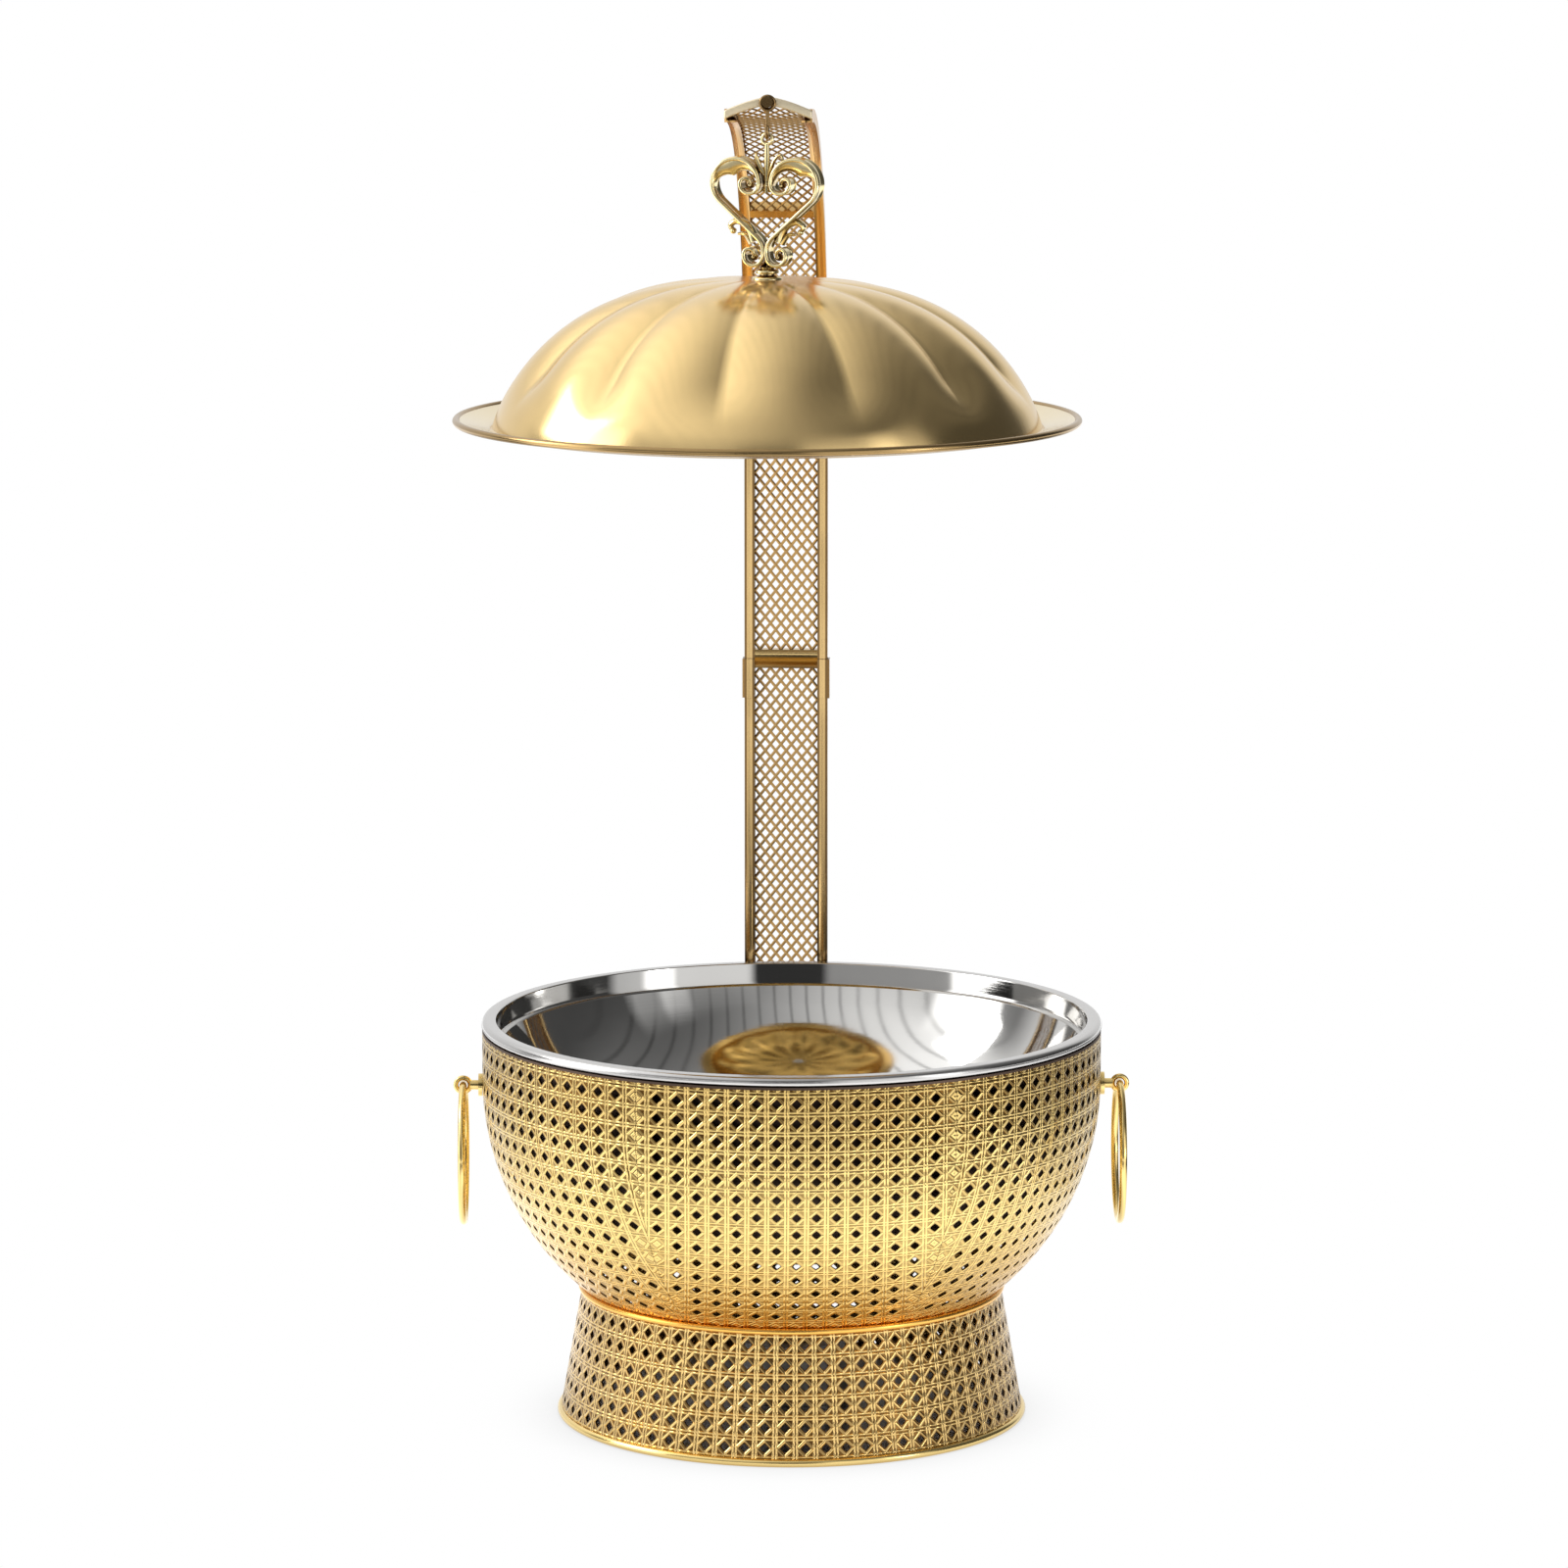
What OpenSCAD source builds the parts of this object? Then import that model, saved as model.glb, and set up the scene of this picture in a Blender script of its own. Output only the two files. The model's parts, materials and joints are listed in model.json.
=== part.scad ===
// Round chafing dish with a perforated bowl and foot, two nested pans, ring handles
// and a lid that hangs from a hook on a lattice arm. Millimetres, +Z up, front is -Y.
// The origin is on the table, on the axis of the bowl.

/* [Bowl] */
// Outer diameter of the food pan's rim
rim_d = 380; // [360:5:420]
// Height of the rim's top above the table
rim_z = 247; // [238:1:275]
// Width of the rolled rim
rim_w = 9; // [8.5:0.5:11]
// Height of the rolled rim
rim_h = 6; // [4:0.5:7]
// Thickness of the pressed sheets
sheet = 1; // [0.8:0.1:1.2]
// Radius of the bowl's curved side
bowl_curve = 165; // [155:1:172]
// Height of the upright band above that curve
bowl_band = 30; // [20:1:38]
// Height of the seam between foot and bowl
neck_z = 82; // [74:1:92]
// Distance between the holes of the bowl and the foot
cane_pitch = 14.5; // [13:0.5:20]
// Width of those holes, corner to corner
cane_hole = 7; // [5:0.5:8]
// Height of the hoop that stiffens the bowl's mouth
hoop_h = 6; // [4:0.5:10]
// Thickness of that hoop
hoop_w = 3.5; // [2.5:0.5:4]

/* [Foot] */
// Diameter of the foot on the table
foot_d = 289; // [270:1:310]
// Height of the ring under the foot
foot_ring_h = 5; // [4:0.5:8]
// Width of that ring
foot_ring_w = 6; // [5:0.5:9]
// Height of the bead at the neck
neck_bead = 4; // [3:0.5:6]

/* [Pans] */
// Height of the food pan's upright band
pan_band = 18; // [12:1:22]
// Width of the shoulder under that band
pan_shoulder = 4; // [3:0.5:8]
// Radius of the food pan's round bottom
pan_curve = 231; // [215:1:280]
// Depth of water between the two bottoms
water_depth = 18; // [12:1:24]
// Thickness of the water pan's flange
flange_t = 1.5; // [1:0.1:2]

/* [Burner] */
// Outer diameter of the fuel cup
cup_d = 70; // [60:1:80]
// Height of the fuel cup
cup_h = 40; // [30:1:50]
// Diameter of the flame opening
flame_d = 38; // [30:1:42]

/* [Handles] */
// Height of the handle studs
handle_z = 205; // [200:1:208]
// Diameter of each ring at the middle of its wire
ring_d = 84.8; // [70:0.2:95]
// Wire of each ring
ring_wire = 4.6; // [4:0.1:5]
// Wire of the eyes that hold the rings
eye_wire = 3; // [2.6:0.1:3.4]
// Distance of the eyes from the bowl's side
eye_out = 12; // [11:0.5:16]

/* [Arm] */
// Width of the lattice arm
arm_w = 53; // [48:1:60]
// Thickness of the arm
arm_t = 8; // [7:0.5:10]
// Width of the side rails
rail_w = 6.5; // [6:0.5:8]
// Space between the rim and the arm
arm_gap = 13; // [11:0.5:18]
// Turn of the arm about its own upright
arm_turn = -4; // [-6:0.5:6]
// Height of the arm's lower end
arm_foot_z = 165; // [155:1:175]
// Height of the joint between the two arm sections
joint_z = 440; // [400:1:480]
// Height where the arch begins
arch_z = 597; // [580:1:620]
// Radius of the arch at the middle of the arm
arch_r = 200; // [195:1:206]
// Angle of the cross bar up the arch
arch_bar_angle = 41.5; // [30:0.5:50]
// Height of the cross bars
bar_h = 6; // [5:0.5:8]
// Rise of the crowned bar at the tip
crown = 7.5; // [6:0.5:12]
// Diamonds across the lattice
lattice_cols = 4; // [3:1:4]
// Height of one diamond, point to point between its neighbours
lattice_pitch = 12.5; // [11:0.5:14]
// Width of the lattice strands
lattice_wire = 1.8; // [1.4:0.1:2.2]
// Length of the tongues that hold the upper section
tongue_l = 25; // [20:1:30]

/* [Lid] */
// Diameter of the lid
lid_d = 380; // [370:1:384]
// Height of the lid over its flange
lid_h = 88; // [80:1:92]
// Width of the lid's flange
lid_flange = 22; // [18:1:26]
// Number of gores pressed into the dome
gores = 12; // [10:1:14]
// Depth of the valleys between the gores
gore_depth = 6.5; // [2:0.5:7]
// Height of the finial, from the dome to its eye
finial_h = 84; // [80:1:88]
// Turn of the finial on the lid
finial_turn = -16; // [-20:1:20]
// Width of the finial's bent strips
strip_w = 13; // [9:0.5:15]
// Thickness of the finial's bent strips
strip_t = 2; // [1.6:0.1:2.2]
// Length of the hook between its pin and its bend
hook_l = 21.5; // [20:0.5:26]
// Wire of the hook
hook_wire = 2.4; // [2:0.1:2.6]

/* [Hidden] */
$fn = 96;

// Clearances: between pieces that are fixed together, and between pieces that move
snug = 0.1;
fit = 0.3;

// Finishes
GOLD = "goldenrod";
PALE_GOLD = "khaki";
DEEP_GOLD = "darkgoldenrod";
STEEL = "gainsboro";
BRASS = "peru";

// Bowl and foot
rim_r = rim_d / 2;
rim_under = rim_z - rim_h;
bowl_top = rim_under - flange_t;
bowl_r = rim_r - 0.5;
curve_z = bowl_top - bowl_band;
curve_x = bowl_r - bowl_curve;
neck_r = curve_x + sqrt(pow(bowl_curve, 2) - pow(curve_z - neck_z, 2));
function wall_inside(z) = curve_x + sqrt(pow(bowl_curve - sheet, 2) - pow(max(0, curve_z - z), 2));
panel_angle = 60;
cane_edge = cane_hole / 2 + 4;
foot_r = foot_d / 2;
foot_top = neck_z - neck_bead;

// Pans
food_r = rim_r - rim_w;
shoulder_r = food_r - pan_shoulder;
shoulder_z = rim_z - pan_band;
pan_centre_z = shoulder_z + sqrt(pow(pan_curve, 2) - pow(shoulder_r, 2));
food_bottom = pan_centre_z - pan_curve - sheet;
water_r = food_r + sheet + fit;
water_bottom = food_bottom - water_depth - sheet;
water_band = pan_band + 4;
water_curve = 153;
water_centre_z = rim_under - water_band;

// Burner
tray_z = foot_ring_h;
tray_r = foot_r - foot_ring_w / 2 - 2 * sheet;
cup_z = tray_z + sheet;
cover_z = cup_z + cup_h;
shutter_t = 1.2;
shutter_z = cover_z + sheet + fit;
pivot_x = cup_d / 2 - 5;
pivot_r = 2;

// Handles
stud_r = 3;
rosette_r = 7;
rosette_t = 2.4;
eye_fit = 0.6;
eye_r = ring_wire / 2 + eye_fit + eye_wire / 2;
eye_x = bowl_r + eye_out;
nut_r = 5.8;
nut_t = 3;
stud_tail = 0.6;
nut_face = wall_inside(handle_z - nut_r) - snug;

// Arm, in its own frame: x across, y through its thickness, z up
arm_y = rim_r + arm_gap + arm_t / 2;
rail_t = 1.2;
rail_x = arm_w / 2 - rail_w;
lattice_t = 1.2;
lattice_y = -arm_t / 2 + rail_t;
arch_top = arch_z + arch_r;
tip_bar_t = 5;
tip_bar_h = 5;
tip_y = -arch_r;
arch_bar_l = bar_h / arch_r * 180 / PI;
socket_wall = 2;
socket_h = 50;
socket_screw_x = 10;
socket_screw_z = arm_foot_z + socket_h - 10;
boss_r = 6;
screw_r = 2;
screw_head_r = 4;
screw_head_t = 1.6;
screw_edge = socket_screw_x + screw_head_r;
screw_side = screw_edge + (arm_gap + arm_t) * sin(abs(arm_turn));
screw_wall = sqrt(pow(wall_inside(socket_screw_z - screw_head_r), 2) - pow(screw_side, 2));
screw_space = arm_y + screw_edge * sin(abs(arm_turn)) - screw_wall + snug;
screw_reach = screw_space / cos(arm_turn) - arm_t / 2 - snug;
arm_screw_x = 10;
arm_screw_head = 2.2;
lattice_w = arm_w - 2 * rail_t - 2 * snug;
diamond_w = 2 * rail_x / lattice_cols;

// Hook and lid, hung from the arm's tip
pin_r = 1.5;
pin_l = 9;
pin_z = arch_top + arm_t / 2 + crown - tip_bar_h / 2;
loop_wire = 2.5;
loop_r = 4;
loop_z = pin_z - (loop_r - loop_wire / 2 - pin_r - fit);
hook_y = tip_y - tip_bar_t - 3.5;
hook_bend = 4.5;
hook_z = pin_z - hook_l;
eyelet_wire = 2.2;
eyelet_r = 3.1;
eyelet_z = hook_z + hook_wire / 2 + eyelet_wire / 2 + fit - eyelet_r;
lid_y = hook_y - hook_bend;
lid_r = lid_d / 2;
lid_top = eyelet_z - finial_h;
lid_z = lid_top - lid_h;
dome_r = lid_r - lid_flange;
dome_rise = lid_h + 14;
dome_full = 2.3;
dome_fall = 1.9;
skirt_drop = 10;
bead_r = 2.2;
crest_r = 14;
stud_hole = 3.3;
gore_phase = 18.5;

// Heart of the finial, measured from the top of the dome
lobe_r = 14.8;
lobe_x = lobe_r + 3.8;
lobe_z = finial_h - 26.7;
lobe_end = -48;
waist_r = 12;
waist_turn = 68;
curl_r = 6;
start_x = lobe_x + lobe_r * cos(lobe_end);
start_z = lobe_z + lobe_r * sin(lobe_end);
waist_l = (start_x + waist_r * cos(lobe_end) - waist_r - strip_t / 2 - snug / 2) / -sin(lobe_end);
waist_z = start_z - waist_l * cos(lobe_end) + waist_r * sin(lobe_end);
curl_z = waist_z + (waist_r - curl_r) * sin(180 + lobe_end + waist_turn);
collar_z = curl_z - curl_r - strip_t / 2 - snug;

// Places the arm's own frame
module in_arm() {
    translate([0, arm_y, 0]) rotate([0, 0, arm_turn]) children();
}

// Places the lid's axis, with z = 0 at the top of the dome
module in_lid() {
    in_arm() translate([0, lid_y, lid_top]) children();
}

// Places the finial, which is turned about the lid's axis
module in_finial() {
    in_lid() rotate([0, 0, finial_turn]) children();
}

// Keeps a piece on the +x side, or mirrors it to the -x side
module on_side(side) {
    mirror([side < 0 ? 1 : 0, 0, 0]) children();
}

// A ring of round wire about the Z axis
module wire_ring(r, wire) {
    rotate_extrude() translate([r, 0]) circle(d = wire);
}

// Half section of a spun sheet that curves in below an upright band
module curved_wall(x, z, r, top, bottom) {
    translate([x + r - sheet, z]) square([sheet, top - z]);
    intersection() {
        translate([x, z]) difference() {
            circle(r = r);
            circle(r = r - sheet);
        }
        translate([max(x, 0), bottom]) square([r + 1, z - bottom]);
    }
}

module foot_ring() {
    edge = foot_ring_h / 2;
    color(DEEP_GOLD) rotate_extrude() {
        translate([foot_r - foot_ring_w, 0]) square([foot_ring_w - edge, foot_ring_h]);
        translate([foot_r - edge, edge]) circle(r = edge);
    }
}

module foot_shell() {
    h = foot_top - foot_ring_h;
    r_low = foot_r - foot_ring_h / 2;
    rows = floor(h / cane_pitch);
    cols = floor(2 * PI * neck_r / cane_pitch);
    color(DEEP_GOLD) translate([0, 0, foot_ring_h]) difference() {
        rotate_extrude() polygon([[r_low - sheet, 0], [r_low, 0], [neck_r, h], [neck_r - sheet, h]]);
        for (row = [0 : rows - 1], col = [0 : cols - 1]) {
            z = h / 2 + (row - (rows - 1) / 2) * cane_pitch;
            r = r_low + (neck_r - r_low) * z / h - sheet / 2;
            rotate([0, 0, 360 * (col + 0.5) / cols]) translate([r, 0, z])
                cane_hole(-atan((r_low - neck_r) / h));
        }
    }
}

module neck_ring() {
    color(BRASS) translate([0, 0, foot_top]) rotate_extrude() {
        translate([neck_r - 3, 0]) square([3, neck_bead]);
        translate([neck_r, neck_bead / 2]) circle(d = neck_bead);
    }
}

// A hole of the cane pattern, through a wall that faces +X and leans back by an angle
module cane_hole(lean) {
    rotate([0, lean, 0]) rotate([0, 90, 0]) cylinder(d = cane_hole, h = 8 * sheet, center = true, $fn = 4);
}

// Rows and columns of holes in the panel that faces +X, with plain edges along its seams
module panel_holes() {
    length = bowl_band + bowl_curve * asin((curve_z - neck_z) / bowl_curve) * PI / 180;
    rows = floor((length - cane_edge) / cane_pitch);
    for (row = [0 : rows - 1]) {
        s = length - (length - (rows - 1) * cane_pitch) / 2 - row * cane_pitch;
        lean = max(0, s - bowl_band) / bowl_curve * 180 / PI;
        z = curve_z + max(0, bowl_band - s) - bowl_curve * sin(lean);
        r = curve_x + bowl_curve * cos(lean);
        side = r * sin(panel_angle / 2) - cane_edge;
        cols = floor(2 * side / cane_pitch) + 1;
        for (col = [0 : cols - 1]) {
            y = (col - (cols - 1) / 2) * cane_pitch;
            translate([sqrt(r * r - y * y), y, z]) rotate([0, 0, asin(y / r)]) cane_hole(lean);
        }
    }
}

// One pressed panel of the bowl, notched for the handle studs and drilled for the socket
module bowl_panel(i) {
    color(GOLD) difference() {
        rotate([0, 0, (i - 1.5) * panel_angle - 90]) rotate_extrude(angle = panel_angle)
            curved_wall(curve_x, curve_z, bowl_curve, bowl_top, neck_z);
        rotate([0, 0, (i - 1) * panel_angle - 90]) panel_holes();
        translate([0, 0, handle_z]) rotate([0, 90, 0])
            cylinder(r = stud_r + snug, h = 3 * rim_d, center = true);
        socket_bores(screw_r + snug);
    }
}

module bowl_hoop() {
    outer = bowl_r - sheet - snug;
    color(GOLD) translate([0, 0, bowl_top - hoop_h]) rotate_extrude()
        translate([outer - hoop_w, 0]) square([hoop_w, hoop_h]);
}

module water_pan() {
    x = water_r + sheet - water_curve;
    bottom_r = x + sqrt(pow(water_curve, 2) - pow(water_centre_z - water_bottom, 2));
    color(STEEL) rotate_extrude() {
        curved_wall(x, water_centre_z, water_curve, rim_under, water_bottom);
        translate([water_r, bowl_top]) square([bowl_r - water_r, flange_t]);
        translate([0, water_bottom]) square([bottom_r - 0.5, sheet]);
    }
}

module food_pan() {
    color(STEEL) rotate_extrude() {
        translate([food_r, rim_under]) square([rim_w - rim_h / 2, rim_h]);
        translate([rim_r - rim_h / 2, rim_z - rim_h / 2]) circle(d = rim_h);
        translate([food_r, shoulder_z - sheet]) square([sheet, pan_band]);
        translate([shoulder_r - 0.5, shoulder_z - sheet]) square([pan_shoulder + 1, sheet]);
        intersection() {
            translate([0, pan_centre_z]) difference() {
                circle(r = pan_curve + sheet);
                circle(r = pan_curve);
            }
            translate([0, food_bottom - 1]) square([shoulder_r, shoulder_z - food_bottom + 1]);
        }
    }
}

module burner_tray() {
    seat = cup_d / 2 + fit;
    color(DEEP_GOLD) translate([0, 0, tray_z]) rotate_extrude() {
        square([tray_r, sheet]);
        translate([seat, 0]) square([sheet, 5]);
    }
}

module fuel_cup() {
    color(STEEL) translate([0, 0, cup_z]) difference() {
        cylinder(d = cup_d, h = cup_h);
        translate([0, 0, sheet]) cylinder(d = cup_d - 2 * sheet, h = cup_h);
    }
}

module fuel_cover() {
    color(STEEL) translate([0, 0, cover_z]) difference() {
        cylinder(d = cup_d, h = sheet);
        translate([0, 0, -1]) cylinder(d = flame_d, h = 4);
        translate([pivot_x, 0, -1]) cylinder(r = pivot_r + snug / 2, h = 4);
    }
}

// Closes the flame opening; its tab reaches past the cup's edge
module fuel_shutter() {
    color(BRASS) translate([0, 0, shutter_z]) difference() {
        union() {
            cylinder(d = flame_d + 4, h = shutter_t);
            translate([0, -5, 0]) cube([pivot_x, 10, shutter_t]);
            translate([pivot_x, 0, 0]) cylinder(d = 10, h = shutter_t);
            translate([-cup_d / 2 - 8, -4, 0]) cube([cup_d / 2, 8, shutter_t]);
        }
        translate([pivot_x, 0, -1]) cylinder(r = pivot_r + fit, h = 4);
    }
}

// Rivet that holds the shutter to the cover
module shutter_pin() {
    head = 1.5;
    grip = shutter_z + shutter_t + fit - cover_z;
    color(BRASS) translate([pivot_x, 0, cover_z]) {
        translate([0, 0, -head]) cylinder(r = pivot_r, h = head + grip);
        translate([0, 0, -head]) cylinder(r = pivot_r + head, h = head - snug);
        translate([0, 0, grip]) cylinder(r = pivot_r + head, h = head);
    }
}

// Stud on the +X side: rosette, stem through the bowl, and the eye for the ring
module handle_stud() {
    color(GOLD) translate([0, 0, handle_z]) {
        rotate([0, 90, 0]) {
            translate([0, 0, bowl_r + snug]) cylinder(r = rosette_r, h = rosette_t);
            translate([0, 0, nut_face - nut_t - stud_tail])
                cylinder(r = stud_r, h = eye_x - eye_r - nut_face + nut_t + stud_tail);
        }
        translate([eye_x, 0, 0]) rotate([90, 0, 0]) wire_ring(eye_r, eye_wire);
    }
}

module stud_nuts() {
    color(STEEL) for (side = [0, 180]) rotate([0, 0, side])
        translate([nut_face - nut_t, 0, handle_z]) rotate([0, 90, 0]) difference() {
            cylinder(r = nut_r, h = nut_t, $fn = 6);
            translate([0, 0, -1]) cylinder(r = stud_r + snug / 2, h = nut_t + 2);
        }
}

// Ring that hangs in the eye on the +X side
module ring_handle() {
    color(GOLD) translate([eye_x, 0, handle_z - ring_d / 2]) rotate([0, 90, 0])
        wire_ring(ring_d / 2, ring_wire);
}

// Places a screw through the bowl's back into each boss of the socket
module at_socket_screws() {
    in_arm() for (x = [-socket_screw_x, socket_screw_x])
        translate([x, -arm_t / 2 - snug, socket_screw_z]) rotate([90, 0, 0]) children();
}

module socket_bores(r) {
    at_socket_screws() translate([0, 0, -1]) cylinder(r = r, h = 2 * screw_reach);
}

// Sleeve that holds the arm's foot, with two bosses that stand on the bowl's back
module rear_socket() {
    inner = [arm_w + 2 * snug, arm_t + 2 * snug];
    outer = [inner.x + 2 * socket_wall, inner.y + 2 * socket_wall];
    color(GOLD) difference() {
        union() {
            in_arm() translate([-outer.x / 2, -outer.y / 2, arm_foot_z - socket_wall])
                cube([outer.x, outer.y, socket_h + socket_wall]);
            at_socket_screws() cylinder(r = boss_r, h = 2 * screw_reach);
        }
        in_arm() translate([-inner.x / 2, -inner.y / 2, arm_foot_z]) cube([inner.x, inner.y, socket_h + 1]);
        socket_bores(screw_r + snug / 2);
        arm_screw_bores(screw_r + snug / 2);
        translate([0, 0, curve_z]) cylinder(r = bowl_r + snug, h = 2 * bowl_band);
        rotate_extrude() intersection() {
            translate([curve_x, curve_z]) circle(r = bowl_curve + snug);
            translate([0, curve_z - bowl_curve]) square([rim_r, bowl_curve]);
        }
    }
}

// Screws from inside the bowl, each with a flat head
module socket_screws() {
    color(STEEL) at_socket_screws() {
        cylinder(r = screw_r, h = screw_reach + screw_head_t / 2);
        translate([0, 0, screw_reach]) cylinder(r = screw_head_r, h = screw_head_t);
    }
}

// Places a screw through the socket's back wall into the arm's end bar
module at_arm_screws() {
    in_arm() for (x = [-arm_screw_x, arm_screw_x])
        translate([x, arm_t / 2 + snug + socket_wall, arm_foot_z + bar_h / 2]) rotate([90, 0, 0])
            children();
}

module arm_screw_bores(r) {
    at_arm_screws() cylinder(r = r, h = socket_wall + snug + arm_t - 2);
}

module arm_screws() {
    color(STEEL) at_arm_screws() {
        cylinder(r = screw_r, h = socket_wall + snug + arm_t - 2.5);
        translate([0, 0, -arm_screw_head]) cylinder(r = screw_head_r, h = arm_screw_head);
    }
}

// Channel section of the rail on the +x side, open towards the lattice
module rail_section() {
    difference() {
        translate([rail_x, -arm_t / 2]) square([rail_w, arm_t]);
        translate([rail_x - 1, lattice_y]) square([rail_w - rail_t + 1, arm_t - 2 * rail_t]);
    }
}

// Section of the lattice sheet, which lies behind the rails' front faces
module lattice_section() {
    translate([-lattice_w / 2, lattice_y]) square([lattice_w, lattice_t]);
}

// Sweeps a section from z0 up the arm, and over the arch from a0 to a1
module arm_sweep(z0, a0, a1) {
    if (z0 < arch_z) translate([0, 0, z0]) linear_extrude(arch_z - z0) children();
    translate([0, -arch_r, arch_z]) rotate([90, 0, 90]) rotate([0, 0, a0]) rotate_extrude(angle = a1 - a0)
        translate([arch_r, 0]) mirror([1, -1, 0]) children();
}

// Moves to a point of the arm, by its distance s above the foot of the arch
module at_arm(s) {
    if (s <= 0) translate([0, 0, arch_z + s]) children();
    else translate([0, -arch_r, arch_z]) rotate([s / arch_r * 180 / PI, 0, 0])
        translate([0, arch_r, 0]) children();
}

// The diamonds of a lattice between two distances along the arm
module diamonds(s0, s1) {
    rows = floor((s1 - s0 - lattice_wire) / lattice_pitch * 2) - 1;
    first = (s0 + s1) / 2 - (rows - 1) * lattice_pitch / 4;
    w = diamond_w / 2 - lattice_wire / 2;
    h = lattice_pitch / 2 - lattice_wire / 2;
    for (row = [0 : rows - 1]) {
        cols = lattice_cols - row % 2;
        for (col = [0 : cols - 1]) at_arm(first + row * lattice_pitch / 2)
            translate([(col - (cols - 1) / 2) * diamond_w, 0, 0]) rotate([90, 0, 0])
                linear_extrude(arm_t, center = true) polygon([[w, 0], [0, h], [-w, 0], [0, -h]]);
    }
}

module lower_rail(side) {
    color(GOLD) in_arm() on_side(side) translate([0, 0, arm_foot_z])
        linear_extrude(joint_z - arm_foot_z) rail_section();
}

// Bar between the rails at one height
module cross_bar(z) {
    color(GOLD) in_arm() translate([-rail_x, -arm_t / 2, z]) cube([2 * rail_x, arm_t, bar_h]);
}

module lower_lattice() {
    z0 = arm_foot_z + bar_h;
    z1 = joint_z - bar_h;
    color(BRASS) in_arm() difference() {
        translate([0, 0, z0]) linear_extrude(z1 - z0) lattice_section();
        diamonds(z0 - arch_z, z1 - arch_z);
    }
}

module lower_end_bar() {
    color(GOLD) difference() {
        in_arm() translate([-rail_x, -arm_t / 2, arm_foot_z]) cube([2 * rail_x, arm_t, bar_h]);
        arm_screw_bores(screw_r + snug / 2);
    }
}

// Collar crimped round the top of a lower rail
module collar(side) {
    wall = 1.2;
    inner = [rail_w, arm_t + 2 * snug];
    color(GOLD) in_arm() on_side(side) translate([rail_x, 0, joint_z - tongue_l]) difference() {
        translate([0, -inner.y / 2 - wall, 0]) cube([inner.x + snug + wall, inner.y + 2 * wall, tongue_l]);
        translate([-1, -inner.y / 2, -1]) cube([inner.x + snug + 1, inner.y, tongue_l + 2]);
    }
}

module upper_rail(side) {
    color(GOLD) in_arm() on_side(side) arm_sweep(joint_z, 0, 90) rail_section();
}

// Bar in the rails' channels that joins the two arm sections
module tongue(side) {
    depth = arm_t - 2 * rail_t - lattice_t - fit;
    width = rail_w - rail_t - fit;
    color(STEEL) in_arm() on_side(side) translate([rail_x + fit, lattice_y + lattice_t + fit, joint_z]) {
        translate([0, 0, fit - tongue_l]) cube([width - fit, depth - fit, tongue_l]);
        cube([width, depth, tongue_l]);
    }
}

module upper_lattice() {
    z0 = joint_z + bar_h;
    a1 = arch_bar_angle - arch_bar_l / 2;
    color(BRASS) in_arm() difference() {
        arm_sweep(z0, 0, a1) lattice_section();
        diamonds(z0 - arch_z, a1 * PI / 180 * arch_r);
    }
}

module tip_lattice() {
    a0 = arch_bar_angle + arch_bar_l / 2;
    color(BRASS) in_arm() difference() {
        arm_sweep(arch_z, a0, 90) lattice_section();
        diamonds(a0 * PI / 180 * arch_r, arch_r * PI / 2);
    }
}

module arch_bar() {
    a0 = arch_bar_angle - arch_bar_l / 2;
    color(GOLD) in_arm() arm_sweep(arch_z, a0, a0 + arch_bar_l)
        translate([-rail_x, -arm_t / 2]) square([2 * rail_x, arm_t]);
}

// Crowned bar across the ends of the rails
module tip_bar() {
    high = arch_top + arm_t / 2 + crown;
    r = (pow(arm_w / 2, 2) + pow(crown, 2)) / (2 * crown);
    color(PALE_GOLD) in_arm() translate([0, tip_y, 0]) rotate([90, 0, 0]) linear_extrude(tip_bar_t)
        intersection() {
            translate([-arm_w / 2, arch_top - arm_t / 2]) square([arm_w, high - arch_top + arm_t / 2]);
            difference() {
                translate([0, high - r]) circle(r = r);
                translate([0, high - r - tip_bar_h]) circle(r = r);
            }
        }
}

module hook_pin() {
    color(BRASS) in_arm() translate([0, tip_y - tip_bar_t, pin_z]) rotate([90, 0, 0]) {
        cylinder(r = pin_r, h = pin_l);
        translate([0, 0, pin_l - 1.5]) cylinder(r = 3.4, h = 1.5);
    }
}

// Wire hook: a loop on the pin, a shank and a bend that carries the lid's eye
module lid_hook() {
    bend_z = hook_z + hook_bend;
    color(BRASS) in_arm() translate([0, hook_y, 0]) {
        translate([0, 0, loop_z]) rotate([90, 0, 0]) wire_ring(loop_r, loop_wire);
        translate([0, 0, bend_z]) cylinder(d = hook_wire, h = loop_z - loop_r - bend_z);
        translate([0, -hook_bend, bend_z]) {
            rotate([90, 0, 90]) rotate([0, 0, 180]) rotate_extrude(angle = 180)
                translate([hook_bend, 0]) circle(d = hook_wire);
            translate([0, -hook_bend, 0]) {
                cylinder(d = hook_wire, h = 2.5);
                translate([0, 0, 2.5]) sphere(d = hook_wire);
            }
        }
    }
}

// Height of the dome's outer or inner face at a radius, from the top of the dome
function dome_at(r, inset) =
    (dome_rise - inset) * pow(max(0, 1 - pow(r / (dome_r - inset), dome_full)), 1 / dome_fall) - dome_rise;

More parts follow.
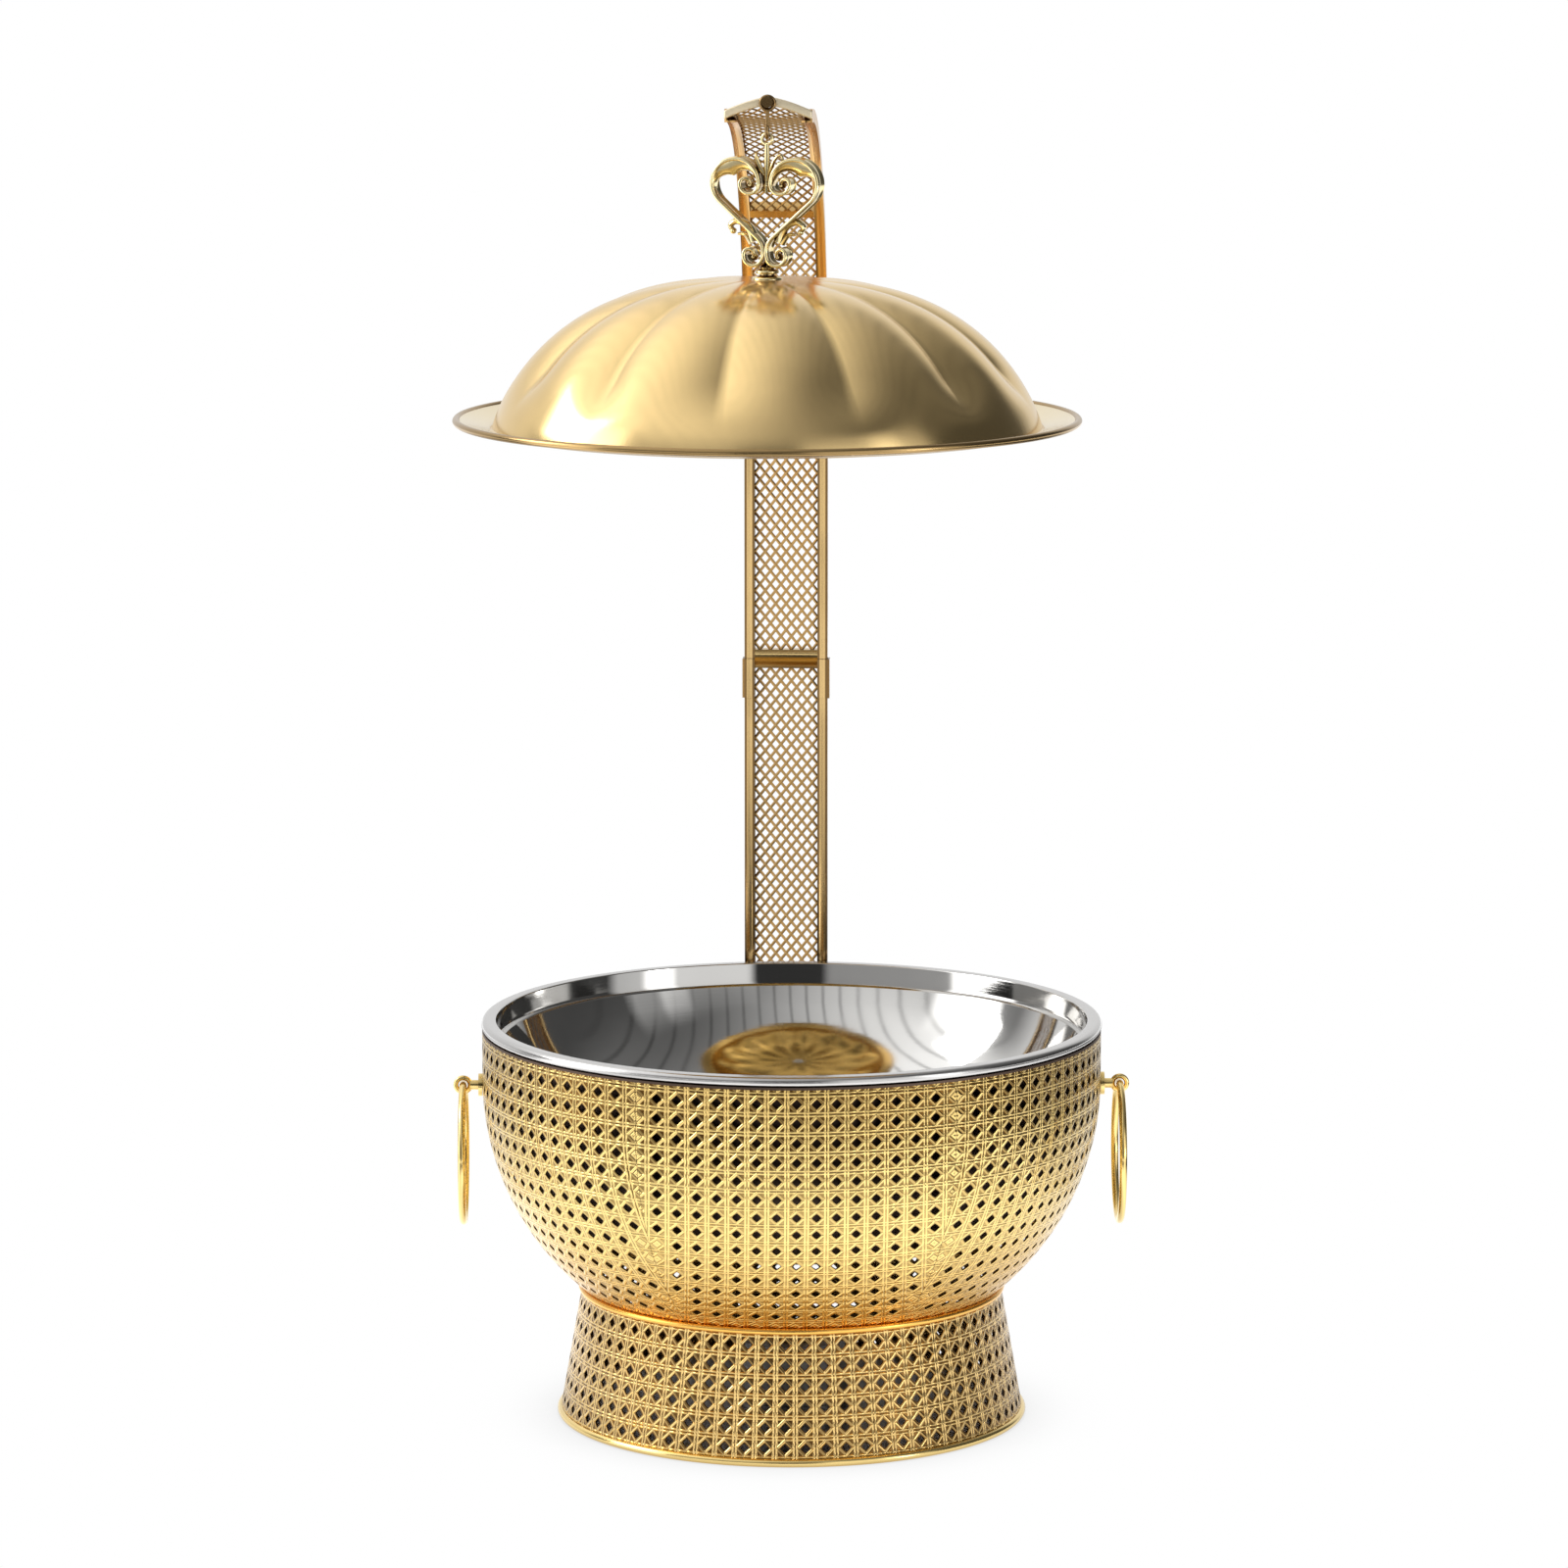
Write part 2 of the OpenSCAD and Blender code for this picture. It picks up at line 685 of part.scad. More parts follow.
// Points of the lid's half section: over the dome, round the rolled edge and back under it
steps = 11;
base_r = dome_r * pow(1 - pow(skirt_drop / dome_rise, dome_fall), 1 / dome_full);
function dome_face(inset) = [for (i = [0 : steps])
    let (a = 90 * i / steps, r = crest_r + (base_r - inset - crest_r) * sin(a)) [r, dome_at(r, inset)]];
function rolled_edge() = [for (a = [160 : -40 : -160])
    [lid_r - bead_r + bead_r * cos(a), -lid_h + bead_r * sin(a)]];
function reversed(list) = [for (i = [len(list) - 1 : -1 : 0]) list[i]];
function lid_profile() = concat(
    [[stud_hole, dome_at(crest_r, 0)]], dome_face(0), rolled_edge(),
    reversed(dome_face(sheet)), [[stud_hole, dome_at(crest_r, 0) - sheet]]);

// How far the gores press in at a point: sharp valleys that fade at the skirt and the crest
function gore(angle, p) =
    let (half = 180 / gores, s = ((angle % (2 * half)) - half) / half,
        low = min(1, max(0, (p.y + lid_h - 12) / 25)), top = min(1, max(0, (p.x - crest_r) / 40)))
    gore_depth * s * s * low * top;

module lid_dome() {
    around = gores * 6;
    profile = lid_profile();
    n = len(profile);
    points = [for (i = [0 : around - 1]) let (a = 360 * i / around) for (p = profile)
        let (r = p.x - gore(a, p)) [r * cos(a), r * sin(a), p.y]];
    faces = [for (i = [0 : around - 1], j = [0 : n - 1])
        let (i2 = (i + 1) % around, j2 = (j + 1) % n)
        let (a = i * n + j, b = i * n + j2, c = i2 * n + j2, d = i2 * n + j)
        each [[a, c, b], [a, d, c]]];
    color(PALE_GOLD) in_lid() rotate([0, 0, gore_phase - arm_turn]) polyhedron(points, faces);
}

// Turned foot of the finial, with the stud that goes through the lid
module finial_pedestal() {
    seat = dome_at(crest_r, 0);
    color(GOLD) in_lid() {
        translate([0, 0, seat - 12]) cylinder(r = stud_hole - fit, h = 14);
        translate([0, 0, seat]) cylinder(r = 9, h = 1.5);
        translate([0, 0, seat + 1]) cylinder(r = 4.6, h = collar_z - seat - 1);
        translate([0, 0, collar_z - 2]) cylinder(r = 8.5, h = 2);
        translate([0, 0, collar_z]) cylinder(r1 = 2.2, r2 = 0.8, h = 3);
    }
}

// Points and headings along a bent strip: each run is a left turn [radius, angle], or [0, length]
function strip_path(runs, x, y, head, i = 0) =
    i == len(runs) ? [[x, y, head]] :
    let (r = runs[i][0], bend = runs[i][1])
    r == 0 ?
    concat([[x, y, head]], strip_path(runs, x + bend * cos(head), y + bend * sin(head), head, i + 1)) :
    let (n = ceil(bend / 9), cx = x - r * sin(head), cy = y + r * cos(head), end = head + bend)
    concat([for (k = [0 : n - 1]) let (a = head + bend * k / n) [cx + r * sin(a), cy - r * cos(a), a]],
        strip_path(runs, cx + r * sin(end), cy - r * cos(end), end, i + 1));

// Half of the heart: a lobe with its curl, and below it the waist with the lower curl
module finial_scroll(side) {
    lobe = [[lobe_r, 180 - lobe_end], [curl_r, 180], [curl_r / 2, 150]];
    waist = [[0, waist_l], [waist_r, waist_turn], [curl_r, 180], [curl_r / 2, 170]];
    up = strip_path(lobe, start_x, start_z, lobe_end + 90);
    down = strip_path(waist, start_x, start_z, lobe_end - 90);
    path = concat([for (i = [len(up) - 1 : -1 : 1]) [up[i].x, up[i].y, up[i].z + 180]], down);
    near = [for (p = path) [p.x - strip_t / 2 * sin(p.z), p.y + strip_t / 2 * cos(p.z)]];
    far = [for (p = path) [p.x + strip_t / 2 * sin(p.z), p.y - strip_t / 2 * cos(p.z)]];
    color(GOLD) in_finial() on_side(side) rotate([90, 0, 0]) linear_extrude(strip_w, center = true)
        polygon(concat(near, reversed(far)));
}

// Stem between the heart's lobes, with two small leaves and the eye that hangs on the hook
module finial_stem() {
    block = 2 * (lobe_x - lobe_r - strip_t / 2 - snug);
    color(GOLD) in_finial() {
        translate([-block / 2, -2.5, lobe_z - 5]) cube([block, 5, 14]);
        translate([0, 0, lobe_z + 5]) cylinder(r = 1.4, h = finial_h - eyelet_r - lobe_z - 5);
        translate([0, 0, finial_h]) rotate([90, 0, 0]) wire_ring(eyelet_r, eyelet_wire);
    }
}

module finial_washer() {
    seat = dome_at(crest_r, 0) - sheet;
    color(STEEL) in_lid() translate([0, 0, seat - 1.2]) difference() {
        cylinder(r = 10, h = 1.2);
        translate([0, 0, -1]) cylinder(r = stud_hole, h = 4);
    }
}

module finial_nut() {
    seat = dome_at(crest_r, 0) - sheet - 1.2;
    color(STEEL) in_lid() translate([0, 0, seat - 5]) difference() {
        cylinder(r = 6, h = 5, $fn = 6);
        translate([0, 0, -1]) cylinder(r = stud_hole - fit + snug / 2, h = 7);
    }
}

foot_ring();
foot_shell();
neck_ring();
bowl_panel(1);  // bowl_panel_1
bowl_panel(2);  // bowl_panel_2
bowl_panel(3);  // bowl_panel_3
bowl_panel(4);  // bowl_panel_4
bowl_panel(5);  // bowl_panel_5
bowl_panel(6);  // bowl_panel_6
bowl_hoop();
water_pan();
food_pan();
burner_tray();
fuel_cup();
fuel_cover();
fuel_shutter();
shutter_pin();
mirror([1, 0, 0]) handle_stud();  // handle_stud_left
handle_stud();  // handle_stud_right
stud_nuts();
mirror([1, 0, 0]) ring_handle();  // ring_left
ring_handle();  // ring_right
rear_socket();
socket_screws();
arm_screws();
lower_rail(-1);  // lower_rail_left
lower_rail(1);  // lower_rail_right
lower_lattice();
lower_end_bar();
cross_bar(joint_z - bar_h);  // lower_top_bar
collar(-1);  // collar_left
collar(1);  // collar_right
upper_rail(-1);  // upper_rail_left
upper_rail(1);  // upper_rail_right
tongue(-1);  // tongue_left
tongue(1);  // tongue_right
cross_bar(joint_z);  // upper_foot_bar
upper_lattice();
tip_lattice();
arch_bar();
tip_bar();
hook_pin();
lid_hook();
lid_dome();
finial_pedestal();
finial_scroll(-1);  // finial_scroll_left
finial_scroll(1);  // finial_scroll_right
finial_stem();
finial_washer();
finial_nut();
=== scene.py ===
"""Detailed view of a round chafing dish: cane panels, lattice arm, gored lid, heart finial and finishes."""

import json
from contextlib import contextmanager
from functools import cache
from math import asin, atan2, ceil, cos, degrees, exp, hypot, pi, radians, sin, tau

import bmesh
import bpy
import numpy as np
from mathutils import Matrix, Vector


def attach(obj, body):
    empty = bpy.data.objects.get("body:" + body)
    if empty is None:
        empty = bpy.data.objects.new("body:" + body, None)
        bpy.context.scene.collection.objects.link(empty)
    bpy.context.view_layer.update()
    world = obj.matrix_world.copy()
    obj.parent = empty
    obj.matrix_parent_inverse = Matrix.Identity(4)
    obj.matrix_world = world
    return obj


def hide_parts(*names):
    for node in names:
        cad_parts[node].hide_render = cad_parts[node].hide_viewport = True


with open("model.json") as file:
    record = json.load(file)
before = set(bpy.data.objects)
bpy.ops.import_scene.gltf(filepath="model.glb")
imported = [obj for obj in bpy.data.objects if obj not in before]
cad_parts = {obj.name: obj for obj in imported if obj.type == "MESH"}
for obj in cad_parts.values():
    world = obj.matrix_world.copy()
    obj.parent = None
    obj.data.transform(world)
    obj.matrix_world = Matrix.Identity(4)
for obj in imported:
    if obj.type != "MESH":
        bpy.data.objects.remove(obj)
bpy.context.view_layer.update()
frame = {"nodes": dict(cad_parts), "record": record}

bl_info = {
    "name": "Chafing dish with hanging lid",
    "version": (1, 0, 0),
    "blender": (4, 5, 0),
    "location": "View3D > Sidebar > Chafing dish",
    "description": "Builds the detailed pieces, finishes and studio of a chafing dish over its CAD frame",
    "category": "Object",
}

NODES = frame["nodes"]
PANELS = [f"bowl_panel_{i}" for i in range(1, 7)]

# Sizes that the pieces share with the CAD model, in metres and radians
SHEET = 0.001
RIM_R = 0.190
RIM_Z = 0.247
RIM_W = 0.009
RIM_H = 0.006
PAN_SHOULDER = 0.004
BOWL_R = 0.1895
BOWL_TOP = 0.2395
BOWL_BAND = 0.030
BOWL_CURVE = 0.165
HALF_PANEL = radians(30)
NECK_Z = 0.082
NECK_R = 0.12923
FOOT_LOW = (0.142, 0.005)
FOOT_HIGH = (NECK_R, 0.078)
ARM_Y = 0.207
ARM_TURN = radians(-4)
ARM_W = 0.053
ARM_T = 0.008
RAIL_W = 0.0065
JOINT_Z = 0.440
ARM_FOOT_Z = 0.165
ARCH_Z = 0.597
ARCH_R = 0.200
ARCH_BAR = radians(41.5)
CROWN = 0.0075
BAR_H = 0.006
TIP_T = 0.005
LID_Y = -0.213
LID_TOP = 0.700
LID_R = 0.190
LID_BEAD = 0.0022
LID_CREST = 0.014
LID_HOLE = 0.0033
SKIRT = 0.010
DOME_R = 0.168
FINIAL_H = 0.084
FINIAL_TURN = radians(-16)
STRIP_W = 0.013
STRIP_T = 0.002
LOBE_R = 0.0148
CURL_R = 0.006
WAIST_R = 0.012
EYE_R = 0.0031

# Values that only the detailed pieces have, with lengths in metres
PAN_BAND = 0.014
PAN_BOTTOM = 0.1465
PAN_BEND = 0.1532
PAN_SLOPE = 1.15
PAN_ROUND = 2.87
LIP_R = 0.0008
LID_H = 0.085
DOME_RISE = LID_H + 0.014
DOME_FORM = (2.9, 1.5)
SEAM_GAP = 0.00012
SEAM_MARGIN = 0.0022
TOP_MARGIN = 0.004
NECK_MARGIN = 0.0015
LATTICE_RELIEF = 0.0006
LATTICE_INSET = 0.0018
LATTICE_TUCK = 0.0014
CROWN_REACH = 0.03
TIP_RISE = 0.0082
TIP_DEEP = 0.0052
TIP_EDGE = 0.0009
STRIP_BEAD = 0.0012
WELD = 1e-5
FOOT_HOLE_SHARE = 0.95
GORE_START = 0.008
GORE_GROWTH = 0.028
GORE_END = 0.03
SOFT_EDGE = 0.0004

# The tile of the UV map that tells the cells without a hole from those with one
PLAIN_TILE = 64

# Outlines of the finial's small ornaments, as (x, z) from its foot, and of its turned foot, as (r, z)
LEAF = ((0.0075, 0.0225), (0.0115, 0.031), (0.0185, 0.0345), (0.0232, 0.0318), (0.0215, 0.0285))
FROND = ((0.0095, 0.0215), (0.0135, 0.0265), (0.0182, 0.0268))
BUD = ((-0.0012, 0.062), (-0.0052, 0.068), (-0.0072, 0.0755))
CURL = ((0.0012, 0.062), (0.0045, 0.071), (0.0085, 0.0745), (0.0098, 0.0705), (0.0075, 0.069))
TURNED_FOOT = (
    (0, -0.0124), (0.003, -0.0124), (0.003, -0.0004), (0.009, -0.0004), (0.009, 0.0004),
    (0.0083, 0.0012), (0.0056, 0.0017), (0.0046, 0.0024), (0.0045, 0.0032), (0.0068, 0.0034),
    (0.0072, 0.004), (0.0072, 0.0048), (0.0066, 0.0054), (0.0048, 0.0057), (0.0042, 0.0063),
    (0.0046, 0.0071), (0.0034, 0.0079), (0.0022, 0.0086), (0.0014, 0.0101), (0, 0.0103),
)

# Brightness of the room by compass angle from the front, in degrees
ROOM = (
    (-180, 0.9), (-125, 0.8), (-112, 0.25), (-102, 0.3), (-98, 2.6), (-70, 2.6), (-66, 0.4),
    (-16, 0.36), (-13, 0.04), (13, 0.04), (16, 0.95), (45, 0.95), (48, 1.9), (58, 1.9),
    (61, 0.75), (72, 0.65), (77, 0.06), (135, 0.08), (150, 0.8), (180, 0.9),
)
ROOM_TOP = 3.0

# Reliefs, reach of the painted shade in dark corners in metres, what that painted shade leaves of a colour,
# and the curve of a hollow face
GRAIN_RELIEF = 0.0004
CANE_RELIEF = 0.0009
RECESS = 0.006
PAINTED_SHADE_TINT = (0.3, 0.2, 0.12)
HOLLOW_CURVE = 70

# Finishes by slot: label, colour, roughness and what else the metal shows, with the painted shade and painted
# glow that some of them add to the colour
FINISHES = {
    "bowl_gold": (
        "Bowl", (1.0, 0.74, 0.275), 0.11, {"smudge": 0.04, "cane": 1.5, "gap": 1.0, "fade": (0.14, 0.21)}
    ),
    "foot_gold": ("Foot shell", (0.87, 0.60, 0.23), 0.13, {"cane": 1.3, "gap": 0.95}),
    "lid_gold": ("Lid", (0.93, 0.675, 0.31), 0.19, {"lines": 0.05, "along": (300, 300, 30), "smudge": 0.02}),
    "lid_inside": ("Inside of the lid", (0.54, 0.34, 0.10), 0.25, {"lines": 0.05}),
    # The rolled edge is a dark copy of the lid's gold: painted shade on the edge and its underside
    "lid_edge": ("Edge of the lid", (0.42, 0.28, 0.12), 0.2, {"smudge": 0.03}),
    "lid_rim": ("Flange of the lid", (0.92, 0.77, 0.48), 0.16, {"smudge": 0.03}),
    "finial_gold": ("Finial", (0.97, 0.82, 0.46), 0.18, {"smudge": 0.04, "shade": 0.45}),
    "trim_gold": ("Rings and fittings", (1.0, 0.75, 0.30), 0.17, {"smudge": 0.04}),
    "neck_gold": ("Neck", (1.0, 0.56, 0.13), 0.24, {"smudge": 0.04}),
    "arm_gold": ("Arm", (0.82, 0.54, 0.22), 0.2, {"lines": 0.05}),
    "rail_gold": ("Rails", (0.74, 0.51, 0.225), 0.2, {"hollow": ("X", (ARM_W - RAIL_W) / 2, 0.85)}),
    "bar_gold": ("Cross bars", (1.0, 0.71, 0.31), 0.22, {"hollow": ("Z", JOINT_Z + BAR_H / 2, 0.3)}),
    "tip_gold": ("Tip band", (1.0, 0.88, 0.64), 0.55, {"lines": 0.05, "along": (30, 900, 900)}),
    "lattice_bronze": ("Lattice", (0.46, 0.29, 0.11), 0.3, {"smudge": 0.06, "shade": 0.4}),
    "hook_bronze": ("Hook", (0.30, 0.19, 0.08), 0.22, {}),
    "pan_steel": ("Food pan", (0.70, 0.69, 0.67), 0.07, {"lines": 0.02, "smudge": 0.03}),
    "rim_steel": ("Rim of the pan", (0.62, 0.61, 0.60), 0.2, {"lines": 0.04}),
    "fixing_steel": ("Fixings", (0.66, 0.66, 0.66), 0.3, {"lines": 0.05}),
    # Near black steel for the water pan and the hoop: painted shade behind the holes and under the rim
    "smoked_steel": ("Water pan", (0.13, 0.09, 0.07), 0.5, {"lines": 0.08}),
    "burner_steel": ("Burner", (0.6, 0.59, 0.58), 0.35, {"lines": 0.08}),
    "burner_brass": ("Burner fittings", (0.72, 0.52, 0.26), 0.3, {"lines": 0.05}),
}


class ChaferCamera(bpy.types.PropertyGroup):
    """Where the photograph was taken from"""

    lens: bpy.props.FloatProperty(
        name="Lens", description="Focal length of the lens", default=157.17, min=50, max=300, unit="CAMERA"
    )
    distance: bpy.props.FloatProperty(
        name="Distance", description="Level distance from the dish",
        default=4.1217, min=1, max=10, unit="LENGTH",
    )
    height: bpy.props.FloatProperty(
        name="Height", description="Height over the table", default=1.0435, min=0, max=3, unit="LENGTH"
    )
    pitch: bpy.props.FloatProperty(
        name="Pitch", description="Tilt below the level",
        default=radians(8.991), min=0, max=0.8, subtype="ANGLE",
    )
    azimuth: bpy.props.FloatProperty(
        name="Azimuth", description="Turn round the dish",
        default=radians(-0.874), min=-3.2, max=3.2, subtype="ANGLE",
    )
    side: bpy.props.FloatProperty(
        name="Side shift", description="Shift to the right", default=-0.00465, min=-1, max=1, unit="LENGTH"
    )


class ChaferPattern(bpy.types.PropertyGroup):
    """The perforated sheets and the lattice"""

    pitch: bpy.props.FloatProperty(
        name="Cane pitch", description="Size of one cell of the cane",
        default=0.01175, min=0.006, max=0.03, unit="LENGTH",
    )
    hole: bpy.props.FloatProperty(
        name="Hole half width", description="Half the width of a hole",
        default=0.00285, min=0.001, max=0.005, unit="LENGTH",
    )
    first_row: bpy.props.FloatProperty(
        name="First row", description="Depth of the top row of holes",
        default=0.0085, min=0.004, max=0.02, unit="LENGTH",
    )
    foot_columns: bpy.props.IntProperty(
        name="Foot columns", description="Columns of holes round the foot", default=72, min=24, max=120
    )
    lattice_columns: bpy.props.IntProperty(
        name="Lattice columns", description="Diamonds across the arm", default=6, min=3, max=10
    )
    lattice_wire: bpy.props.FloatProperty(
        name="Lattice wire", description="Width of a strand of the lattice",
        default=0.0018, min=0.0005, max=0.003, unit="LENGTH",
    )
    lattice_row: bpy.props.FloatProperty(
        name="Lattice row", description="Height of one diamond",
        default=0.0083, min=0.004, max=0.02, unit="LENGTH",
    )


class ChaferLid(bpy.types.PropertyGroup):
    """The gores pressed into the lid"""

    gores: bpy.props.IntProperty(
        name="Gores", description="Number of pressed valleys", default=12, min=6, max=24
    )
    depth: bpy.props.FloatProperty(
        name="Valley depth", description="Depth of a valley", default=0.0082, min=0, max=0.01, unit="LENGTH"
    )
    phase: bpy.props.FloatProperty(
        name="First valley", description="Turn of the first valley",
        default=radians(18.5), min=0, max=1.1, subtype="ANGLE",
    )


class ChaferStudio(bpy.types.PropertyGroup):
    """Light and floor"""

    key: bpy.props.FloatProperty(
        name="Window light", description="Lamp at the left", default=16, min=0, max=1000, unit="POWER"
    )
    fill: bpy.props.FloatProperty(
        name="Fill light", description="Lamp at the right", default=3, min=0, max=1000, unit="POWER"
    )
    world: bpy.props.FloatProperty(
        name="Surroundings", description="Strength of the room in reflections",
        default=1.0, min=0, max=5, subtype="FACTOR",
    )
    floor: bpy.props.FloatProperty(
        name="Floor", description="Strength of the table in reflections",
        default=1.06, min=0, max=5, subtype="FACTOR",
    )


class ChaferColours(bpy.types.PropertyGroup):
    """One colour for each finish, and the warmer one of the rails over the arch"""

    __annotations__ = {
        slot: bpy.props.FloatVectorProperty(
            name=label, description=f"Colour of the finish {slot}",
            default=colour, min=0, max=1, subtype="COLOR",
        )
        for slot, (label, colour, *_) in FINISHES.items()
    }
    arch: bpy.props.FloatVectorProperty(
        name="Arch", description="Colour of the rails over the arch",
        default=(1.0, 0.58, 0.2), min=0, max=1, subtype="COLOR",
    )


class ChaferSettings(bpy.types.PropertyGroup):
    """All settings of the chafing dish"""

    camera: bpy.props.PointerProperty(name="Camera", description="View of the photograph", type=ChaferCamera)
    pattern: bpy.props.PointerProperty(name="Pattern", description="Cane and lattice", type=ChaferPattern)
    lid: bpy.props.PointerProperty(name="Lid", description="Gores of the lid", type=ChaferLid)
    colours: bpy.props.PointerProperty(name="Colours", description="Metal colours", type=ChaferColours)
    studio: bpy.props.PointerProperty(name="Studio", description="Light and floor", type=ChaferStudio)


# Shader helpers


class Graph:
    """Adds nodes to one tree and links them"""

    def __init__(self, tree):
        self.tree = tree

    def put(self, value, socket):
        if isinstance(value, bpy.types.NodeSocket):
            self.tree.links.new(value, socket)
        else:
            socket.default_value = value

    def node(self, kind, values=(), **settings):
        """The outputs of a new node whose sockets get the values, in their order or by name"""
        made = self.tree.nodes.new(kind)
        for key, value in settings.items():
            setattr(made, key, value)
        for key, value in values.items() if isinstance(values, dict) else enumerate(values):
            self.put(value, made.inputs[key])
        return made.outputs

    def math(self, operation, *values):
        return self.node("ShaderNodeMath", values, operation=operation)[0]

    def ramp(self, factor, low, high, out_low=0.0, out_high=1.0):
        values = (factor, low, high, out_low, out_high)
        return self.node("ShaderNodeMapRange", values, interpolation_type="SMOOTHSTEP")["Result"]

    def mix(self, factor, a, b, blend="MIX"):
        return self.node("ShaderNodeMix", {0: factor, 6: a, 7: b}, data_type="RGBA", blend_type=blend)[2]

    def noise(self, vector, scale, detail, rough=0.5):
        values = {"Vector": vector, "Scale": scale, "Detail": detail, "Roughness": rough}
        return self.node("ShaderNodeTexNoise", values)["Fac"]

    def split(self, vector):
        return self.node("ShaderNodeSeparateXYZ", (vector,))

    def occlusion(self, distance, samples):
        return self.node("ShaderNodeAmbientOcclusion", {"Distance": distance}, samples=samples)["AO"]

    def group(self, name, **values):
        return self.node("ShaderNodeGroup", values, node_tree=groups()[name])

    def walls(self, x, y):
        """Light of the room in the level direction (x, y)"""
        turn = self.math("ARCTAN2", x, self.math("MULTIPLY", y, -1.0))
        return self.group("room", Turn=self.math("DIVIDE", turn, tau))["Light"]


def shader_group(name, inputs, outputs):
    """A new node group with its sockets, and the graph inside it"""
    tree = bpy.data.node_groups.new(name, "ShaderNodeTree")
    for label, kind in inputs.items():
        tree.interface.new_socket(label, in_out="INPUT", socket_type="NodeSocket" + kind)
    for label in outputs:
        tree.interface.new_socket(label, in_out="OUTPUT", socket_type="NodeSocketFloat")
    graph = Graph(tree)
    return tree, graph, graph.node("NodeGroupInput"), tree.nodes.new("NodeGroupOutput").inputs


def cane_group():
    """Relief of the cane in one cell: strand pairs along its edges and slanted strands round its hole.
    Plain cells, which have their UV map in a far tile, get a knot in place of the hole."""
    tree, g, inp, out = shader_group("cane_relief", {"Vector": "Vector"}, ("Height", "Gap"))
    split = g.split(inp["Vector"])
    across = g.math("SUBTRACT", g.math("FRACT", split[0]), 0.5)
    along = g.math("SUBTRACT", g.math("FRACT", split[1]), 0.5)
    u, v = g.math("ABSOLUTE", across), g.math("ABSOLUTE", along)
    corner = g.math("ADD", u, v)
    two_waves = 12.566

    def strand(distance, centre, half):
        x = g.math("DIVIDE", g.math("SUBTRACT", distance, centre), half)
        return g.math("SQRT", g.math("MAXIMUM", g.math("SUBTRACT", 1.0, g.math("MULTIPLY", x, x)), 0.0))

    def edge_pair(distance, run, sway):
        wave = g.math("MULTIPLY_ADD", g.math("COSINE", g.math("MULTIPLY", run, two_waves)), sway, 0.75)
        return g.math("MULTIPLY", strand(distance, 0.42, 0.062), wave)

    lean = g.ramp(g.math("MULTIPLY", across, along), -0.01, 0.01, 1.0, 0.3)
    slant = g.math("MULTIPLY", strand(corner, 0.39, 0.12), lean)
    edges = g.math("MAXIMUM", edge_pair(u, v, 0.2), edge_pair(v, u, -0.2))
    is_plain = g.math("GREATER_THAN", split[0], PLAIN_TILE / 2)
    knot = g.math("MULTIPLY", strand(corner, 0.13, 0.14), is_plain)
    height = g.math("MAXIMUM", g.math("MAXIMUM", slant, knot), edges)
    g.put(height, out["Height"])
    g.put(g.ramp(height, 0.05, 0.6, 1.0, 0.0), out["Gap"])
    return tree


def grain_group():
    """Fine brushed lines and soft smudges from one set of coordinates"""
    sockets = {"Vector": "Vector", "Along": "Vector"}
    tree, g, inp, out = shader_group("metal_grain", sockets, ("Lines", "Smudge"))
    scaled = g.node("ShaderNodeVectorMath", (inp["Vector"], inp["Along"]), operation="MULTIPLY")[0]
    g.put(g.noise(scaled, 1.0, 3.0, 0.6), out["Lines"])
    g.put(g.noise(inp["Vector"], 14.0, 3.0, 0.55), out["Smudge"])
    return tree


def room_group():
    """Brightness of the room round the dish by compass angle from the front, in turns from -0.5 to 0.5"""
    tree, g, inp, out = shader_group("room_walls", {"Turn": "Float"}, ("Light",))
    walls = tree.nodes.new("ShaderNodeValToRGB")
    g.put(g.math("ADD", inp["Turn"], 0.5), walls.inputs[0])
    marks = walls.color_ramp.elements
    for angle, _ in ROOM[1:-1]:
        marks.new(angle / 360 + 0.5)
    for mark, (angle, light) in zip(marks, ROOM):
        mark.position = angle / 360 + 0.5
        mark.color = (*[light / ROOM_TOP] * 3, 1)
    g.put(g.math("MULTIPLY", walls.outputs["Color"], ROOM_TOP), out["Light"])
    return tree


@cache
def groups():
    """The shared shader groups, made once"""
    return {"cane": cane_group(), "grain": grain_group(), "room": room_group()}


def tones():
    """The colours that the user has set"""
    return bpy.context.scene.chafer.colours


def darker(colour, share):
    """The colour with less light, as red, green, blue and alpha"""
    return (*(c * share for c in colour), 1)


def woven(g, where, dark, paint, rough, height, cane, gap, fade=None):
    """Adds the cane to a metal: relief, painted shade in the gaps and, with fade, a calm foot with a painted
    warm glow and painted shade on the top
    """
    weave = g.group("cane", Vector=where["UV"])
    depth, raised = gap, cane
    if fade:
        low, high = fade
        level = g.split(where["Object"])[2]
        depth = g.ramp(level, low, high, gap * 0.5, gap)
        raised = g.ramp(level, low, high, cane * 0.45, cane)
        # Painted shade: the top of the bowl, under the rim, turns towards the dark copy of its colour
        painted_top_shade = g.ramp(level, high - 0.02, high + 0.025, 0.0, 0.35)
        paint = g.mix(painted_top_shade, paint, (*dark, 1))
        # Painted glow: towards the neck the colour turns to the neck's deep orange, standing for light
        # bounced in the gold
        painted_warm_glow = g.ramp(level, NECK_Z, low + 0.01, 0.7, 0.0)
        paint = g.mix(painted_warm_glow, paint, (*tones().neck_gold, 1))
    # Painted shade in the gaps between the strands
    paint = g.mix(g.math("MULTIPLY", weave["Gap"], depth), paint, darker(dark, 0.55))
    rough = g.math("MULTIPLY_ADD", weave["Gap"], 0.2, rough)
    return paint, rough, g.math("MULTIPLY_ADD", weave["Height"], raised, height)


